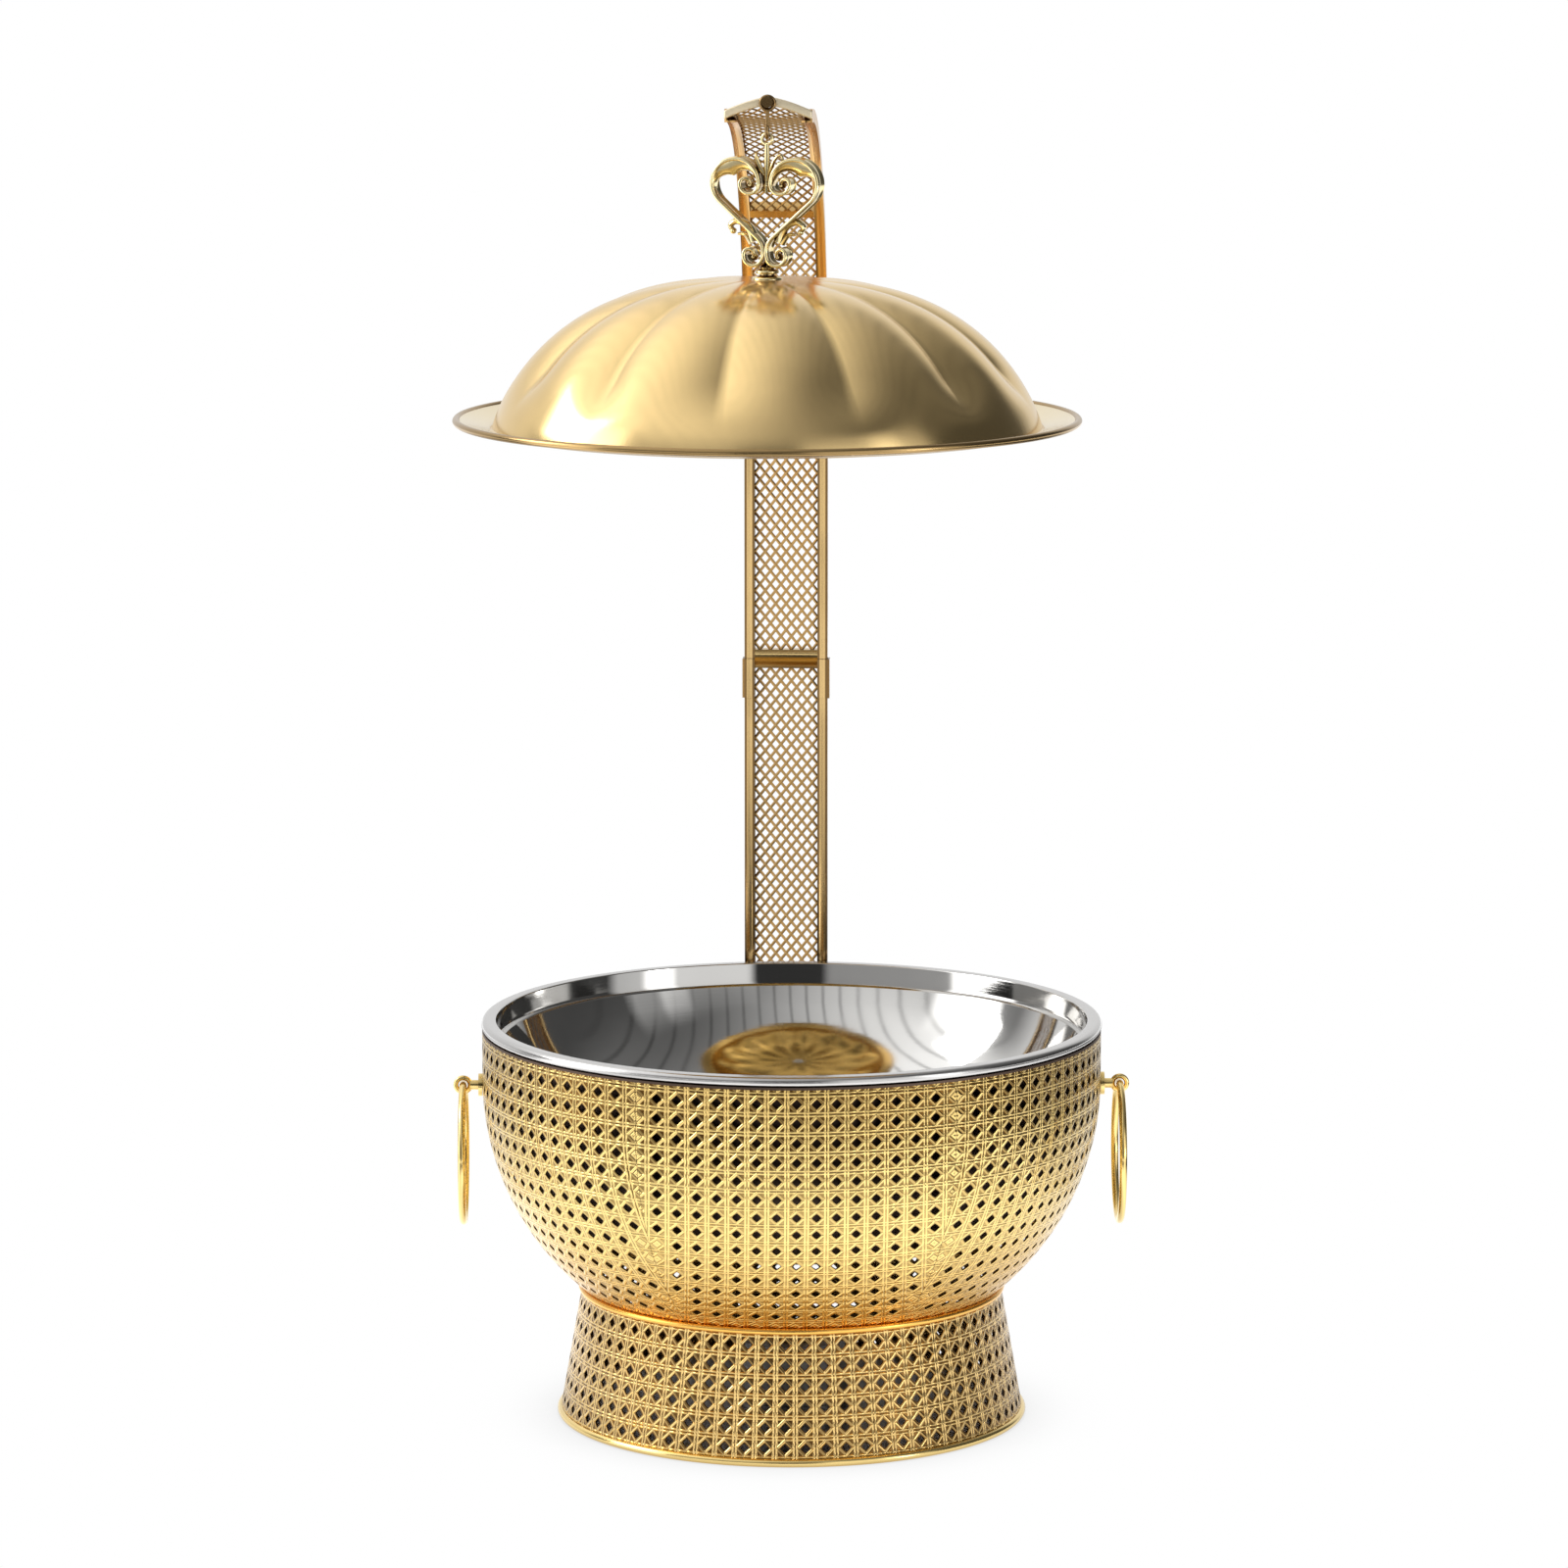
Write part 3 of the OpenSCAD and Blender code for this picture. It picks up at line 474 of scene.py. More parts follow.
def hollowed(g, where, dark, paint, height, axis, middle, shade):
    """Makes a rail or bar look hollow, with painted shade along its edges that fades where the rails turn
    over the arch
    """
    x, y, z = g.split(where["Object"])
    place = z
    if axis == "X":
        inward = g.math("MULTIPLY_ADD", y, sin(ARM_TURN), -ARM_Y * sin(ARM_TURN))
        place = g.math("ABSOLUTE", g.math("MULTIPLY_ADD", x, cos(ARM_TURN), inward))
    offset = g.math("SUBTRACT", place, middle)
    square = g.math("MULTIPLY", offset, offset)
    height = g.math("MULTIPLY_ADD", square, HOLLOW_CURVE / GRAIN_RELIEF, height)
    over = g.ramp(z, ARCH_Z, ARCH_Z + 0.07)
    paint = g.mix(g.math("MULTIPLY", over, 0.7), paint, (*tones().arch, 1))
    # Painted shade along the edges, standing for the dark room that the bevelled edges reflect
    edge = g.ramp(g.math("ABSOLUTE", offset), 0.0013, 0.0022, 0.0, shade)
    edge = g.math("MULTIPLY", edge, g.math("MULTIPLY_ADD", over, -0.75, 1.0))
    return g.mix(edge, paint, darker(dark, 0.4)), height


def metal(slot, colour, roughness, lines=0.0, along=(40, 40, 900), smudge=0.05, shade=0.25, **form):
    """A metal with brushed lines, smudged polish and painted shade that darkens its recesses, and the form
    that its finish names
    """
    mat = bpy.data.materials.new(slot)
    mat.use_nodes = True
    mat.diffuse_color = (*colour, 1)
    mat.metallic = 1.0
    mat.roughness = roughness
    g = Graph(mat.node_tree)
    bsdf = mat.node_tree.nodes["Principled BSDF"].inputs
    bsdf["Metallic"].default_value = 1.0
    bsdf["Base Color"].default_value = (*colour, 1)
    bsdf["Roughness"].default_value = roughness
    where = g.node("ShaderNodeTexCoord")
    grain = g.group("grain", Vector=where["Object"], Along=along)
    tint = g.ramp(grain["Smudge"], 0.3, 0.7, 1.0 - shade * 0.35, 1.0)
    grey = g.node("ShaderNodeCombineColor", (tint, tint, tint))[0]
    paint = g.mix(1.0, (*colour, 1), grey, "MULTIPLY")
    # Painted shade: ambient occlusion mixes the colour towards a darker copy of it in recesses and corners
    dark = tuple(c * f for c, f in zip(colour, PAINTED_SHADE_TINT))
    painted_recess_shade = g.ramp(g.occlusion(RECESS, 4), 0.25, 0.85, shade * 2.0, 0.0)
    paint = g.mix(painted_recess_shade, paint, (*dark, 1))
    rough = g.math("MULTIPLY_ADD", g.ramp(grain["Smudge"], 0.35, 0.7, -1.0, 1.0), smudge, roughness)
    height = g.math("MULTIPLY", grain["Lines"], lines)
    if "cane" in form:
        paint, rough, height = woven(g, where, dark, paint, rough, height, **form)
    if "hollow" in form:
        paint, height = hollowed(g, where, dark, paint, height, *form["hollow"])
    rough = g.math("MULTIPLY_ADD", grain["Lines"], lines * 0.3, rough)
    relief = CANE_RELIEF if "cane" in form else GRAIN_RELIEF
    bump = g.node("ShaderNodeBump", {"Strength": 1.0, "Distance": relief, "Height": height})
    g.put(paint, bsdf["Base Color"])
    g.put(rough, bsdf["Roughness"])
    g.put(bump["Normal"], bsdf["Normal"])
    return mat


@cache
def finishes():
    """Every finish of the dish by its slot name, made once"""
    return {
        slot: metal(slot, getattr(tones(), slot), roughness, **more)
        for slot, (_, _, roughness, more) in FINISHES.items()
    }


# Geometry helpers


def linked(name, data):
    """A new object in the scene"""
    obj = bpy.data.objects.new(name, data)
    bpy.context.scene.collection.objects.link(obj)
    return obj


def mesh_of(name, verts, faces):
    """A new mesh from lists of vertices and faces"""
    mesh = bpy.data.meshes.new(name)
    mesh.from_pydata(verts, [], faces)
    return mesh


def piece(name, mesh, body, slot, replaces, material=None):
    """A new object of the dish that moves with a CAD body and stands for a CAD node"""
    obj = linked(name, mesh)
    if not mesh.materials:
        mesh.materials.append(material or finishes()[slot])
    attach(obj, body)
    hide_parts(replaces)
    return obj


def smooth(mesh, angle):
    """Smooth shading with sharp edges over an angle in degrees"""
    mesh.shade_smooth()
    mesh.set_sharp_from_angle(angle=radians(angle))
    return mesh


def applied(obj):
    """The object's mesh with its modifiers applied, as a plain mesh; the object is removed"""
    bpy.context.view_layer.update()
    graph = bpy.context.evaluated_depsgraph_get()
    mesh = bpy.data.meshes.new_from_object(obj.evaluated_get(graph))
    drop(obj)
    return mesh


def drop(*objs):
    """Removes helper objects and their meshes"""
    for obj in objs:
        mesh = obj.data
        bpy.data.objects.remove(obj)
        bpy.data.meshes.remove(mesh)


def moved(mesh, mapping):
    """Moves every vertex by a function of an (n, 3) array"""
    co = np.empty(len(mesh.vertices) * 3, np.float64)
    mesh.vertices.foreach_get("co", co)
    mesh.vertices.foreach_set("co", np.asarray(mapping(co.reshape(-1, 3)), np.float64).ravel())
    mesh.update()
    return mesh


@contextmanager
def editing(mesh):
    """Opens a mesh as a bmesh and writes it back"""
    bm = bmesh.new()
    bm.from_mesh(mesh)
    yield bm
    bm.to_mesh(mesh)
    bm.free()


def mended(mesh, weld=0.0):
    """Merges doubles nearer than weld and points the faces outwards"""
    with editing(mesh) as bm:
        if weld:
            bmesh.ops.remove_doubles(bm, verts=bm.verts, dist=weld)
        bmesh.ops.recalc_face_normals(bm, faces=bm.faces)
    return mesh


def cut(mesh, *planes):
    """Cuts away what lies on the outer side of each plane (point, normal)"""
    with editing(mesh) as bm:
        for point, normal in planes:
            parts = bm.verts[:] + bm.edges[:] + bm.faces[:]
            bmesh.ops.bisect_plane(
                bm, geom=parts, dist=1e-7, plane_co=point, plane_no=normal, clear_outer=True
            )
    return mesh


def thicken(mesh, name):
    """A closed sheet grown to the inner side of an open mesh"""
    obj = linked(name, mesh)
    modifier = obj.modifiers.new("sheet", "SOLIDIFY")
    modifier.thickness = SHEET
    modifier.offset = -1
    modifier.use_even_offset = True
    result = applied(obj)
    result.name = name
    return result


@cache
def cell_tree():
    """Geometry nodes that put an open or a plain cell on each point and join them into one sheet"""
    tree = bpy.data.node_groups.new("cells_on_points", "GeometryNodeTree")
    sockets = {
        "Geometry": "Geometry", "Open cell": "Object", "Plain cell": "Object", "Cell width": "Float",
        "Cell height": "Float", "Weld distance": "Float", "Material": "Material",
    }
    for label, kind in sockets.items():
        tree.interface.new_socket(label, in_out="INPUT", socket_type="NodeSocket" + kind)
    tree.interface.new_socket("Geometry", in_out="OUTPUT", socket_type="NodeSocketGeometry")
    g = Graph(tree)
    start = g.node("NodeGroupInput")
    is_open = g.node("GeometryNodeInputNamedAttribute", {"Name": "open"}, data_type="BOOLEAN")["Attribute"]
    is_plain = g.node("FunctionNodeBooleanMath", (is_open,), operation="NOT")[0]
    size = g.node("ShaderNodeCombineXYZ", (start["Cell width"], start["Cell height"], 1.0))["Vector"]
    join = tree.nodes.new("GeometryNodeJoinGeometry")
    for label, chosen in (("Open cell", is_open), ("Plain cell", is_plain)):
        cell = g.node("GeometryNodeObjectInfo", {"Object": start[label]})["Geometry"]
        values = {"Points": start["Geometry"], "Selection": chosen, "Instance": cell, "Scale": size}
        g.put(g.node("GeometryNodeInstanceOnPoints", values)["Instances"], join.inputs["Geometry"])
    real = g.node("GeometryNodeRealizeInstances", {"Geometry": join.outputs["Geometry"]})["Geometry"]
    values = {"Geometry": real, "Distance": start["Weld distance"]}
    weld = g.node("GeometryNodeMergeByDistance", values)["Geometry"]
    values = {"Geometry": weld, "Material": start["Material"]}
    paint = g.node("GeometryNodeSetMaterial", values)["Geometry"]
    g.node("NodeGroupOutput", {"Geometry": paint})
    return tree


def cell_object(name, verts, faces, width, height, tile=0):
    """A small mesh that a sheet repeats, one unit wide and high, with its UV map in one tile"""
    mesh = mesh_of(name, [(x / width, y / height, z) for x, y, z in verts], faces)
    layer = mesh.uv_layers.new(name="UVMap")
    for loop in mesh.loops:
        x, y, _ = verts[loop.vertex_index]
        layer.data[loop.index].uv = (x / width + 0.5 + tile, y / height + 0.5)
    return linked(name, mesh)


def cane_cell(name, width, height, hole):
    """One cell of the perforated sheet, with a diamond hole or, where hole is 0, without one"""
    rim = [(1, 0), (1, 1), (0, 1), (-1, 1), (-1, 0), (-1, -1), (0, -1), (1, -1)]
    verts = [(x * width / 2, y * height / 2, 0) for x, y in rim]
    if not hole:
        faces = [(8, 7, 0, 1), (8, 1, 2, 3), (8, 3, 4, 5), (8, 5, 6, 7)]
        return cell_object(name, [*verts, (0, 0, 0)], faces, width, height, PLAIN_TILE)
    bulge, near = 0.56, 0.55
    reach = [hole if 0 in point else bulge * hole for point in rim]
    inner = [(x * far, y * far, 0) for (x, y), far in zip(rim, reach)]
    middle = [tuple((1 - near) * a + near * b for a, b in zip(p, q)) for p, q in zip(verts, inner)]
    return cell_object(name, verts + middle + inner, quads(3, 8, closed=False), width, height)


def cane_cells(width, height, hole):
    """An open and a plain cell of one size"""
    return cane_cell("cell_open", width, height, hole), cane_cell("cell_plain", width, height, 0)


def lattice_cell(name, width, height, wire):
    """One diamond of the lattice: four raised strands between the middles of its sides"""
    tips = [(width / 2, 0), (0, height / 2), (-width / 2, 0), (0, -height / 2)]
    shapes = []
    for i in range(4):
        a, b = Vector(tips[i]), Vector(tips[(i + 1) % 4])
        side = (b - a).orthogonal().normalized() * wire / 2
        verts = []
        for p in (a, b):
            verts += [(*(p + side), 0), (*p, LATTICE_RELIEF), (*(p - side), 0), (*p, -LATTICE_RELIEF)]
        shapes.append((verts, quads(2, 4, closed=False)))
    return cell_object(name, *joined(shapes), width, height)


def cell_sheet(name, points, open_flags, open_cell, plain_cell, size, slot):
    """The flat sheet that the geometry nodes make of the cells, as a plain mesh"""
    mesh = mesh_of(name, [(x, y, 0) for x, y in points], [])
    mesh.attributes.new("open", "BOOLEAN", "POINT").data.foreach_set("value", open_flags)
    obj = linked(name, mesh)
    modifier = obj.modifiers.new("cells", "NODES")
    modifier.node_group = cell_tree()
    values = {
        "Open cell": open_cell, "Plain cell": plain_cell, "Cell width": size[0], "Cell height": size[1],
        "Weld distance": WELD, "Material": finishes()[slot],
    }
    for socket in cell_tree().interface.items_tree:
        if socket.in_out == "INPUT" and socket.name in values:
            modifier[socket.identifier] = values[socket.name]
    return applied(obj)


def turned(points, angle):
    """Points turned about the upright axis"""
    c, s = cos(angle), sin(angle)
    x, y, z = np.asarray(points).T
    return np.stack([x * c - y * s, x * s + y * c, z], 1)


def arm_frame(points):
    """From the arm's own frame to the object's frame"""
    return turned(points, ARM_TURN) + (0, ARM_Y, 0)


def along_arm(points):
    """From across, along and proud of the lattice to the arm's own frame: straight up, then over the arch"""
    across, s, proud = np.asarray(points).T
    a = np.clip(s / ARCH_R, 0, None)
    depth = -ARM_T / 2 + LATTICE_INSET - proud
    y = np.where(s < 0, depth, -ARCH_R + (ARCH_R + depth) * np.cos(a))
    z = np.where(s < 0, ARCH_Z + s, ARCH_Z + (ARCH_R + depth) * np.sin(a))
    return np.stack([across, y, z], 1)


def lid_frame(points):
    """From the lid's own axis, with z = 0 at the top of the dome, to the object's frame"""
    return arm_frame(np.asarray(points) + (0, LID_Y, LID_TOP))


def bent(runs, x, z, heading, step=6):
    """Points (x, z, heading) along a strip: each run is a left turn (radius, degrees) or (0, length)"""
    out = [(x, z, heading)]
    for radius, bend in runs:
        h = radians(heading)
        if radius == 0:
            x, z = x + bend * cos(h), z + bend * sin(h)
            out.append((x, z, heading))
            continue
        cx, cz = x - radius * sin(h), z + radius * cos(h)
        count = max(2, ceil(bend / step))
        for k in range(1, count + 1):
            a = radians(heading + bend * k / count)
            out.append((cx + radius * sin(a), cz - radius * cos(a), degrees(a)))
        x, z, heading = out[-1]
    return out


def heart_path():
    """Centre line of the heart's right half, from the curl in its lobe down to the lower curl"""
    lobe_x, lobe_z, end = LOBE_R + 0.0038, FINIAL_H - 0.0267, -48
    e = radians(end)
    x, z = lobe_x + LOBE_R * cos(e), lobe_z + LOBE_R * sin(e)
    run = (x + WAIST_R * cos(e) - WAIST_R - STRIP_T / 2) / -sin(e)
    curl = ((CURL_R, 180), (CURL_R / 2, 200))
    up = bent(((LOBE_R, 180 - end), *curl), x, z, end + 90)
    down = bent(((0, run), (WAIST_R, 68), *curl), x, z, end - 90)
    return [(px, pz, h + 180) for px, pz, h in reversed(up[1:])] + down


def quads(rings, n, closed):
    """Faces between neighbouring rings of n points each, and from the last to the first where closed"""
    faces = []
    for i in range(rings if closed else rings - 1):
        a, b = i * n, (i + 1) % rings * n
        faces += [(a + j, a + (j + 1) % n, b + (j + 1) % n, b + j) for j in range(n)]
    return faces


def swept(path, section, scale):
    """Vertices and faces of a section (normal, depth) swept along (x, z, heading) and closed at both ends"""
    verts, n = [], len(section)
    for i, (x, z, heading) in enumerate(path):
        a = radians(heading)
        wide, deep = scale(i / (len(path) - 1))
        for normal, depth in section:
            verts.append((x - normal * wide * sin(a), depth * deep, z + normal * wide * cos(a)))
    ends = [tuple(range(n)), tuple(range(len(verts) - n, len(verts)))[::-1]]
    return verts, quads(len(path), n, closed=False) + ends


def tapered(start, end):
    """A scale for swept that goes evenly from one (width, depth) to another"""
    return lambda t: tuple(a + (b - a) * t for a, b in zip(start, end))


def curve_through(points, count=24):
    """A smooth path (x, z, heading) through a few points"""
    p = np.array([points[0], *points, points[-1]], float)
    out = []
    for i in range(1, len(p) - 2):
        a, b, c, d = p[i - 1 : i + 3]
        for t in np.linspace(0, 1, count // (len(points) - 1), endpoint=i == len(p) - 3):
            square = (2 * a - 5 * b + 4 * c - d) * t**2
            cube = (3 * b - a - 3 * c + d) * t**3
            out.append(0.5 * (2 * b + (c - a) * t + square + cube))
    slope = np.gradient(np.array(out), axis=0)
    return [(x, z, degrees(atan2(dz, dx))) for (x, z), (dx, dz) in zip(out, slope)]


def ball(x, z, r, depth):
    """Vertices and faces of a knob, stretched through the finial's depth"""
    bm = bmesh.new()
    bmesh.ops.create_uvsphere(bm, u_segments=24, v_segments=12, radius=1)
    verts = [(x + v.co.x * r, v.co.y * depth, z + v.co.z * r) for v in bm.verts]
    bm.verts.index_update()
    faces = [tuple(v.index for v in f.verts) for f in bm.faces]
    bm.free()
    return verts, faces


def joined(shapes):
    """One list of vertices and faces from several"""
    verts, faces = [], []
    for v, f in shapes:
        faces += [tuple(i + len(verts) for i in face) for face in f]
        verts += v
    return verts, faces


def lathe(profile, count):
    """Vertices and faces of a piece turned from a half section (r, z), left open from its end to its start"""
    turns = [2 * pi * i / count for i in range(count)]
    verts = [(r * cos(a), r * sin(a), z) for a in turns for r, z in profile]
    n = len(profile)
    faces = [(a, d, c, b) for a, b, c, d in quads(count, n, closed=True) if a % n < n - 1]
    return verts, faces


class CHAFER_OT_finial(bpy.types.Operator):
    """Makes the cast heart, its leaves, its stem with the eye and its turned foot"""

    bl_idname = "chafer.finial"
    bl_label = "Finial"

    def add(self, name, shape, replaces, flip=False):
        verts, faces = shape
        upright = np.array(verts) * (-1 if flip else 1, 1, 1)
        mesh = mesh_of(name, lid_frame(turned(upright, FINIAL_TURN)).tolist(), faces)
        smooth(mended(mesh, 1e-6), 45)
        piece(name, mesh, "lid", "trim_gold", replaces, finishes()["finial_gold"])

    def execute(self, context):
        half = STRIP_W / 2
        edge = half - STRIP_BEAD
        turns = np.radians(np.linspace(-150, 150, 11))
        rim = [(STRIP_BEAD * sin(a), STRIP_BEAD * cos(a)) for a in turns]
        section = [(n, edge + d) for n, d in rim] + [(-n, -edge - d) for n, d in rim]
        oval = [(0.5 * cos(a), 0.5 * sin(a)) for a in np.radians(np.arange(0, 360, 30))]
        path = heart_path()

        def heart_scale(t):
            return 1.0, 1.0 - 0.45 * max(0.0, 1 - t / 0.22) - 0.35 * max(0.0, (t - 0.8) / 0.2)

        def crescent_scale(t):
            top = 0.465
            wide = 0.045 if t > top else 0.075
            return 0.0098 * exp(-(((t - top) / wide) ** 2)), 1.0

        def bud_scale(t):
            return 0.0032 * sin(pi * (0.15 + 0.83 * t)) + 0.0004, 0.003

        deep = half * 0.8
        crescent = [(0, deep), (-0.45, deep * 0.9), (-0.85, deep * 0.5), (-1, 0)]
        crescent += [(n, -d) for n, d in reversed(crescent[:3])]
        leaf = curve_through(LEAF)
        heart = joined([
            swept(path, section, heart_scale),
            ball(*path[0][:2], 0.0021, 0.0045),
            ball(*path[-1][:2], 0.0023, 0.0045),
            swept(path, crescent, crescent_scale),
            swept(leaf, oval, tapered((0.0062, 0.0095), (0.00248, 0.005225))),
            ball(*leaf[-1][:2], 0.0019, 0.003),
            swept(curve_through(FROND), oval, tapered((0.0042, 0.008), (0.00168, 0.004))),
        ])
        self.add("heart_left", heart, "finial_scroll_left", flip=True)
        self.add("heart_right", heart, "finial_scroll_right")

        top = FINIAL_H - EYE_R
        stem = [(0, z, 90.0) for z in np.linspace(0.052, top, 12)]
        eye = bent(((EYE_R, 360),), 0, top, 0, 12)
        shapes = [
            swept(stem, oval, tapered((0.0052, 0.0052), (0.0028, 0.0028))),
            swept(eye, oval, tapered((0.0022, 0.0022), (0.0022, 0.0022))),
            swept(curve_through(BUD), oval, bud_scale),
            swept(curve_through(CURL), oval, tapered((0.0026, 0.0045), (0.0013, 0.0027))),
            ball(0.0078, 0.0692, 0.0015, 0.0022),
            ball(0, 0.0565, 0.0026, 0.0026),
        ]
        self.add("stem_with_eye", joined(shapes), "finial_stem")
        self.add("turned_foot", lathe(TURNED_FOOT, 48), "finial_pedestal")
        return {"FINISHED"}


class CHAFER_OT_bowl(bpy.types.Operator):
    """Makes the six perforated cane panels of the bowl"""

    bl_idname = "chafer.bowl"
    bl_label = "Bowl panels"

    def execute(self, context):
        look = context.scene.chafer.pattern
        pitch, hole = look.pitch, look.hole
        cells = cane_cells(pitch, pitch, hole)
        zc = BOWL_TOP - BOWL_BAND
        xc = BOWL_R - BOWL_CURVE
        length = BOWL_BAND + BOWL_CURVE * asin((zc - NECK_Z) / BOWL_CURVE)

        def profile(s):
            a = np.clip((s - BOWL_BAND) / BOWL_CURVE, 0, 1.4)
            r = np.where(s < BOWL_BAND, BOWL_R, xc + BOWL_CURVE * np.cos(a))
            z = np.where(s < BOWL_BAND, BOWL_TOP - s, zc - BOWL_CURVE * np.sin(a))
            return r, z

        def bend(co):
            y = co[:, 0]
            r, z = profile(-co[:, 1])
            return np.stack([np.sqrt(np.maximum(r * r - y * y, 1e-9)), y, z], 1)

        points, flags = [], []
        for row in range(-1, int((length + pitch) / pitch) + 1):
            s = look.first_row + row * pitch
            r = float(profile(np.array(min(max(s + hole, 0), length)))[0])
            for col in range(-8, 9):
                y = col * pitch
                inside = r * sin(HALF_PANEL) - abs(y) > hole + SEAM_MARGIN
                points.append((y, -s))
                flags.append(inside and TOP_MARGIN < s < length - hole - NECK_MARGIN)
        along, across = cos(HALF_PANEL), sin(HALF_PANEL)
        planes = [((0, 0, BOWL_TOP), (0, 0, 1)), ((0, 0, NECK_Z), (0, 0, -1))]
        for side in (1, -1):
            planes.append(((SEAM_GAP * across, -side * SEAM_GAP * along, 0), (-across, side * along, 0)))
        for i, node in enumerate(PANELS):
            mesh = cell_sheet(node + "_sheet", points, flags, *cells, (pitch, pitch), "bowl_gold")
            cut(moved(mesh, bend), *planes)
            moved(mesh, lambda co: turned(co, radians(-90 + 60 * i)))
            name = node + "_cane"
            piece(name, smooth(thicken(mesh, name), 50), "base", "bowl_gold", node)
        drop(*cells)
        return {"FINISHED"}


class CHAFER_OT_foot(bpy.types.Operator):
    """Makes the perforated cane cone of the foot"""

    bl_idname = "chafer.foot"
    bl_label = "Foot shell"

    def execute(self, context):
        look = context.scene.chafer.pattern
        (r0, z0), (r1, z1) = FOOT_LOW, FOOT_HIGH
        length = hypot(r0 - r1, z1 - z0)
        count = look.foot_columns
        rows = max(1, round(length / look.pitch))
        scale = (r0 + r1) / 2
        width, height = 2 * pi / count * scale, length / rows
        cells = cane_cells(width, height, look.hole * FOOT_HOLE_SHARE)
        points = [((c + 0.5) * width, (r + 0.5) * height) for r in range(rows) for c in range(count)]
        mesh = cell_sheet("foot_sheet", points, [True] * len(points), *cells, (width, height), "foot_gold")

        def bend(co):
            a = -co[:, 0] / scale
            t = co[:, 1] / length
            r = r0 + (r1 - r0) * t
            return np.stack([r * np.sin(a), r * np.cos(a), z0 + (z1 - z0) * t], 1)

        mended(moved(mesh, bend), 2 * WELD)
        name = "foot_shell_cane"
        piece(name, smooth(thicken(mesh, name), 50), "base", "foot_gold", "foot_shell")
        drop(*cells)
        return {"FINISHED"}


class CHAFER_OT_lattice(bpy.types.Operator):
    """Makes the lattice of the arm"""

    bl_idname = "chafer.lattice"
    bl_label = "Arm lattice"

    def execute(self, context):
        look = context.scene.chafer.pattern
        width = (ARM_W - 2 * RAIL_W) / look.lattice_columns
        columns = look.lattice_columns + 2
        edge = ARM_W / 2 - LATTICE_TUCK
        bar, half_bar = ARCH_BAR * ARCH_R, BAR_H / 2
        spans = (
            ("lower_lattice", "base", ARM_FOOT_Z + BAR_H - ARCH_Z, JOINT_Z - BAR_H - ARCH_Z, 0.0),
            ("upper_lattice", "upper_arm", JOINT_Z + BAR_H - ARCH_Z, bar - half_bar, 0.0),
            ("tip_lattice", "upper_arm", bar + half_bar, ARCH_R * pi / 2, CROWN),
        )
        for node, body, s0, s1, crown in spans:
            rows = round((s1 - s0) / look.lattice_row)
            height = (s1 - s0) / rows
            cell = lattice_cell("cell_lattice", width, height, look.lattice_wire)
            across = [(c - (columns - 1) / 2) * width for c in range(columns)]
            points = [(x, s0 + (r + 0.5) * height) for r in range(rows) for x in across]
            flags = [True] * len(points)
            mesh = cell_sheet(node + "_sheet", points, flags, cell, cell, (width, height), "lattice_bronze")
            cut(mesh, ((edge, 0, 0), (1, 0, 0)), ((-edge, 0, 0), (-1, 0, 0)))

            def place(co):
                out = along_arm(co)
                near = np.clip(1 - (s1 - co[:, 1]) / CROWN_REACH, 0, 1)
                out[:, 2] += crown * near**2 * (1 - (2 * co[:, 0] / ARM_W) ** 2)
                return arm_frame(out)

            smooth(mended(moved(mesh, place)), 30)
            mesh.name = node + "_wire"
            piece(node + "_wire", mesh, body, "lattice_bronze", node)
            drop(cell)
        return {"FINISHED"}


class CHAFER_OT_tip(bpy.types.Operator):
    """Makes the thin crowned band that closes the tip of the arm"""

    bl_idname = "chafer.tip"
    bl_label = "Tip band"

    def execute(self, context):
        half, high = ARM_W / 2, ARCH_Z + ARCH_R + ARM_T / 2 + CROWN
        x = np.linspace(-half, half, 33)
        top = high - TIP_RISE * (np.abs(x) / half) ** 1.45
        outline = [*zip(x, top), *zip(x[::-1], (top - TIP_DEEP)[::-1])]
        n = len(outline)
        verts = [(a, y, b) for y in (-ARCH_R - TIP_T, -ARCH_R) for a, b in outline]
        faces = [tuple(range(n)), tuple(range(2 * n - 1, n - 1, -1)), *quads(2, n, closed=False)]
        mesh = mended(mesh_of("tip_band", arm_frame(verts).tolist(), faces))
        with editing(mesh) as bm:
            sharp = [e for e in bm.edges if e.calc_face_angle(0) > 0.7]
            bmesh.ops.bevel(bm, geom=sharp, offset=TIP_EDGE, segments=3, affect="EDGES", profile=0.5)
        piece("tip_band", smooth(mesh, 50), "upper_arm", "tip_gold", "tip_bar")
        return {"FINISHED"}


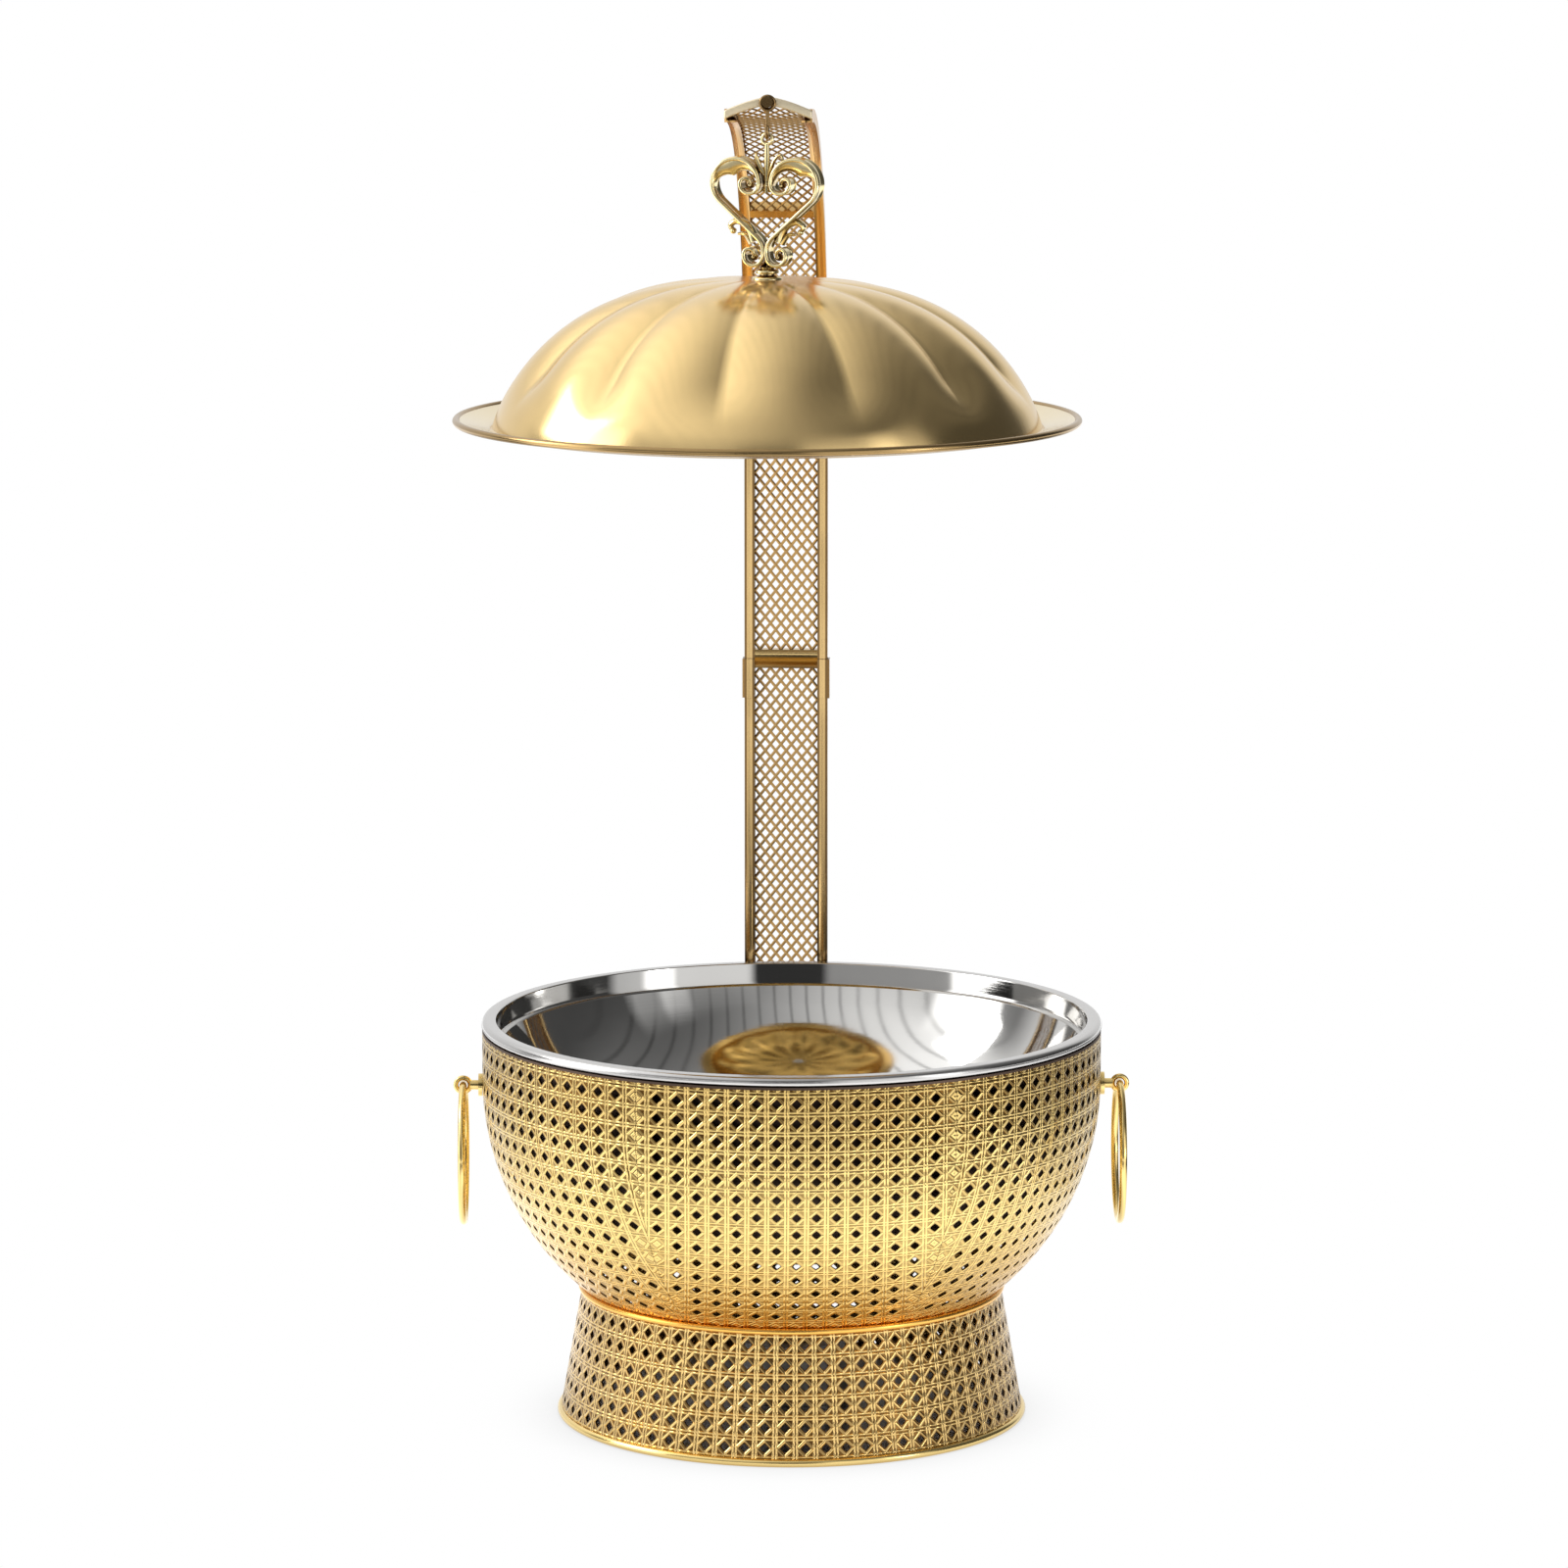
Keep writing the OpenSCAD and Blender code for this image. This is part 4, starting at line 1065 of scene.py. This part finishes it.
class CHAFER_OT_lid(bpy.types.Operator):
    """Makes the gored lid with its flange and rolled edge"""

    bl_idname = "chafer.lid"
    bl_label = "Lid"

    def execute(self, context):
        look = context.scene.chafer.lid
        full, fall = DOME_FORM
        base_r = DOME_R * (1 - (SKIRT / DOME_RISE) ** fall) ** (1 / full)

        def dome(inset):
            t = np.linspace(0, 1, 40)
            r = LID_CREST + (base_r - inset - LID_CREST) * np.sin(t * pi / 2)
            form = np.maximum(0, 1 - (r / (DOME_R - inset)) ** full) ** (1 / fall)
            return np.stack([r, (DOME_RISE - inset) * form - DOME_RISE], 1)

        top, under = dome(0), dome(SHEET)
        turns = np.radians(np.linspace(160, -160, 15))
        edge = np.stack([LID_R - LID_BEAD + LID_BEAD * np.cos(turns), -LID_H + LID_BEAD * np.sin(turns)], 1)
        foot = np.array([base_r, top[-1, 1]])
        fillet_top = foot + [[0.0012, -0.0006], [0.004, 0.0004]]
        fillet_low = foot + [[0.004, -0.0006], [0.0005, -0.0016]]
        hole = np.array([[LID_HOLE, top[0, 1]]])
        profile = np.concatenate([hole, top, fillet_top, edge, fillet_low, under[::-1], hole - [[0, SHEET]]])
        around = look.gores * 20
        a = np.radians(np.arange(around) * 360 / around)
        half = pi / look.gores
        s = (np.mod(a, 2 * half) - half) / half
        low = np.clip((profile[:, 1] + LID_H - GORE_START) / GORE_GROWTH, 0, 1)
        low = low * low * (3 - 2 * low)
        high = np.clip((profile[:, 0] - LID_CREST) / GORE_END, 0, 1)
        r = profile[None, :, 0] - look.depth * np.abs(s)[:, None] ** 2 * (low * high)[None, :]
        turn = (a + look.phase - ARM_TURN)[:, None]
        co = np.stack([r * np.cos(turn), r * np.sin(turn), np.broadcast_to(profile[:, 1], r.shape)], 2)
        n = len(profile)
        mesh = mesh_of("lid_shell", lid_frame(co.reshape(-1, 3)).tolist(), quads(around, n, closed=True))
        smooth(mesh, 38)
        # The rolled edge takes the dark lid_edge colour, which is painted shade
        for slot in ("lid_gold", "lid_rim", "lid_edge", "lid_inside"):
            mesh.materials.append(finishes()[slot])
        flat = len(hole) + len(top) + len(fillet_top) - 1
        ends = (flat - 1, flat + 1, flat + len(edge))
        kinds = [sum(j >= e for e in ends) for j in range(n)]
        mesh.polygons.foreach_set("material_index", kinds * around)
        piece("lid_shell", mesh, "lid", "lid_gold", "lid_dome")
        return {"FINISHED"}


class CHAFER_OT_pan(bpy.types.Operator):
    """Makes the polished food pan with its rolled rim and round bottom"""

    bl_idname = "chafer.pan"
    bl_label = "Food pan"

    def execute(self, context):
        wall, bead = RIM_R - RIM_W, RIM_H / 2
        turns = np.radians(np.linspace(90, -90, 13))
        rim = [(RIM_R - bead + bead * cos(a), RIM_Z - bead + bead * sin(a)) for a in turns]
        turns = np.radians((0, 30, 60, 90))
        lip = [(wall + LIP_R * (1 - sin(a)), RIM_Z - LIP_R * (1 - cos(a))) for a in turns]
        low, shoulder = RIM_Z - PAN_BAND, wall - PAN_SHOULDER
        r = shoulder * (1 - np.linspace(0, 1, 40))
        outside = PAN_SLOPE + PAN_SLOPE * (r - PAN_BEND) / (shoulder - PAN_BEND)
        steep = np.where(r > PAN_BEND, outside, PAN_SLOPE * (r / PAN_BEND) ** PAN_ROUND)
        fall = np.concatenate([[0], np.cumsum((steep[1:] + steep[:-1]) / 2 * -np.diff(r))])
        z = low - fall * (low - PAN_BOTTOM) / fall[-1]
        band = [(wall, low + 0.003), (wall - 0.0006, low + 0.001), (shoulder + 0.0015, low)]
        slope = np.arctan(steep)
        outer = [(x + SHEET * sin(a), y - SHEET * cos(a)) for x, y, a in zip(r, z, slope)]
        outer = outer[::-1] + [(wall + SHEET, low - SHEET), (wall + SHEET, RIM_Z - RIM_H)]
        profile = lip + band + list(zip(r, z)) + outer + rim[::-1]
        mesh = mended(mesh_of("food_pan_polished", *lathe(profile + profile[:1], 160)), 1e-7)
        for slot in ("pan_steel", "rim_steel"):
            mesh.materials.append(finishes()[slot])
        for face in mesh.polygons:
            x, y, height = face.center
            face.material_index = int(hypot(x, y) > wall + 0.0003 and height > RIM_Z - RIM_H)
        piece("food_pan_polished", smooth(mesh, 35), "food_pan", "pan_steel", "food_pan")
        return {"FINISHED"}


class CHAFER_OT_finishes(bpy.types.Operator):
    """Gives every CAD node its finish, and softened edges to the arm and its socket"""

    bl_idname = "chafer.finishes"
    bl_label = "Finishes"

    def execute(self, context):
        slots = {s["node"]: s["material_slot"] for s in frame["record"]["subparts"]}
        slots.update(neck_ring="neck_gold", foot_ring="trim_gold", lower_top_bar="bar_gold")
        # The water pan and the bowl's hoop take the near black steel, painted shade behind the holes and
        # under the rim
        slots.update(upper_foot_bar="bar_gold", water_pan="smoked_steel", bowl_hoop="smoked_steel")
        slots.update({name: "rail_gold" for name in NODES if "_rail_" in name or name.startswith("collar")})
        for name, obj in NODES.items():
            obj.data.materials.clear()
            obj.data.materials.append(finishes()[slots[name]])
            if any(part in name for part in ("rail", "bar", "collar", "rear_socket")):
                bevel = obj.modifiers.new("soft_edges", "BEVEL")
                bevel.width = SOFT_EDGE
                bevel.segments = 2
                bevel.limit_method = "ANGLE"
                bevel.angle_limit = radians(40)
        return {"FINISHED"}


class CHAFER_OT_stage(bpy.types.Operator):
    """Makes the camera of the photograph, the floor and the soft studio light"""

    bl_idname = "chafer.stage"
    bl_label = "Studio"

    def camera(self, scene):
        """The camera at the photograph's place"""
        shot = scene.chafer.camera
        c, s = cos(shot.azimuth), sin(shot.azimuth)
        cam = linked("camera", bpy.data.cameras.new("camera"))
        cam.data.lens = shot.lens
        cam.data.sensor_width = 36
        cam.data.clip_end = 50
        cam.location = (shot.distance * s + shot.side * c, -shot.distance * c + shot.side * s, shot.height)
        cam.rotation_euler = (pi / 2 - shot.pitch, 0, shot.azimuth)
        scene.camera = cam

    def floor(self, light):
        """A white floor with a faint shadow, which polished metal sees as a table in a room"""
        mat = bpy.data.materials.new("floor_white")
        mat.use_nodes = True
        g = Graph(mat.node_tree)
        bsdf = mat.node_tree.nodes["Principled BSDF"]
        bsdf.inputs["Base Color"].default_value = (0.9, 0.9, 0.9, 1)
        bsdf.inputs["Roughness"].default_value = 0.9
        where = g.node("ShaderNodeTexCoord")["Object"]
        x, y, _ = g.split(where)
        far = g.math("SQRT", g.math("ADD", g.math("POWER", x, 2.0), g.math("POWER", y, 2.0)))
        away = g.math("MULTIPLY", g.ramp(far, 0.35, 1.0), g.ramp(far, 1.6, 2.4, 1.0, 0.0))
        table = g.math("MULTIPLY", g.ramp(far, 0.1, 0.3, 0.7, 1.25), g.math("SUBTRACT", 1.0, away))
        mixed = g.math("MULTIPLY_ADD", g.math("MULTIPLY_ADD", g.walls(x, y), 0.85, 0.04), away, table)
        stretched = g.node("ShaderNodeMapping", {"Vector": where, "Scale": (1.6, 0.9, 1)})["Vector"]
        bands = g.noise(stretched, 1.4, 1.0)
        glow = g.math("MULTIPLY", mixed, g.ramp(bands, 0.35, 0.6, light.floor * 0.85, light.floor * 1.15))
        path = g.node("ShaderNodeLightPath")
        shadow = g.ramp(g.occlusion(0.07, 8), 0.35, 0.95, 0.8, 1.0)
        seen = g.math("MULTIPLY_ADD", path["Is Camera Ray"], g.math("SUBTRACT", shadow, glow), glow)
        plain = g.node("ShaderNodeEmission", {"Color": (1, 1, 1, 1), "Strength": seen})[0]
        shown = g.math("MAXIMUM", path["Is Camera Ray"], path["Is Glossy Ray"])
        choice = g.node("ShaderNodeMixShader", (shown, bsdf.outputs[0], plain))[0]
        g.put(choice, mat.node_tree.nodes["Material Output"].inputs["Surface"])
        corners = [(-6, -6, 0), (6, -6, 0), (6, 6, 0), (-6, 6, 0)]
        ground = linked("floor", mesh_of("floor", corners, [(0, 1, 2, 3)]))
        ground.data.materials.append(mat)

    def room(self, scene, light):
        """A white background that polished metal sees as the walls and the striped ceiling of a room"""
        scene.world = bpy.data.worlds.new("studio")
        scene.world.use_nodes = True
        g = Graph(scene.world.node_tree)
        back = scene.world.node_tree.nodes["Background"].inputs
        x, y, z = g.split(g.node("ShaderNodeTexCoord")["Generated"])
        folds = g.math("PINGPONG", g.math("ADD", g.math("MULTIPLY", x, 8.0), y), 0.4)
        slope = g.math("MULTIPLY", g.ramp(x, -0.8, 0.7, 1.4, 0.16), g.ramp(y, -0.8, 0.6, 0.75, 1.15))
        ceiling = g.math("MULTIPLY", slope, g.ramp(folds, 0.04, 0.1, 0.55, 1.0))
        over = g.ramp(g.math("ARCSINE", z), 0.35, 0.75)
        sides = g.math("MULTIPLY", g.walls(x, y), g.math("SUBTRACT", 1.0, over))
        room = g.math("ADD", sides, g.math("MULTIPLY", ceiling, over))
        camera_ray = g.node("ShaderNodeLightPath")["Is Camera Ray"]
        g.put(g.math("MAXIMUM", g.math("MULTIPLY", room, light.world), camera_ray), back["Strength"])
        back["Color"].default_value = (1, 1, 1, 1)

    def execute(self, context):
        scene = context.scene
        light = scene.chafer.studio
        scene.view_settings.view_transform = "Standard"
        self.camera(scene)
        self.floor(light)
        self.room(scene, light)
        for name, place, aim, size, power in (
            ("key", (-2.1, 0.3, 1.7), (0, 0, 0.5), 0.9, light.key),
            ("side", (2.0, -1.4, 0.35), (0, 0, 0.2), 0.4, light.fill),
        ):
            lamp = linked(name, bpy.data.lights.new(name, "AREA"))
            lamp.data.energy = power
            lamp.data.size = size
            lamp.location = place
            lamp.rotation_euler = (Vector(aim) - Vector(place)).to_track_quat("-Z", "Y").to_euler()
        return {"FINISHED"}


class CHAFER_PT_panel(bpy.types.Panel):
    """Settings and steps of the chafing dish"""

    bl_idname = "CHAFER_PT_panel"
    bl_label = "Chafing dish"
    bl_space_type = "VIEW_3D"
    bl_region_type = "UI"
    bl_category = "Chafing dish"

    def draw(self, context):
        for group in ("camera", "pattern", "lid", "colours", "studio"):
            box = self.layout.box()
            box.label(text=group.title())
            settings = getattr(context.scene.chafer, group)
            for key in settings.__annotations__:
                box.prop(settings, key)
        for step in STEPS:
            self.layout.operator(step.bl_idname)


STEPS = (
    CHAFER_OT_finishes, CHAFER_OT_bowl, CHAFER_OT_foot, CHAFER_OT_lattice, CHAFER_OT_tip,
    CHAFER_OT_pan, CHAFER_OT_lid, CHAFER_OT_finial, CHAFER_OT_stage,
)
SETTINGS = (ChaferCamera, ChaferPattern, ChaferLid, ChaferStudio, ChaferColours, ChaferSettings)
CLASSES = (*SETTINGS, *STEPS, CHAFER_PT_panel)


def register():
    for cls in CLASSES:
        bpy.utils.register_class(cls)
    bpy.types.Scene.chafer = bpy.props.PointerProperty(
        name="Chafing dish", description="Settings of the chafing dish", type=ChaferSettings
    )


def unregister():
    del bpy.types.Scene.chafer
    for cls in reversed(CLASSES):
        bpy.utils.unregister_class(cls)


def main():
    register()
    for step in STEPS:
        group, name = step.bl_idname.split(".")
        if getattr(getattr(bpy.ops, group), name)() != {"FINISHED"}:
            raise RuntimeError(f"{step.bl_label} did not finish")


if __name__ == "__main__":
    main()
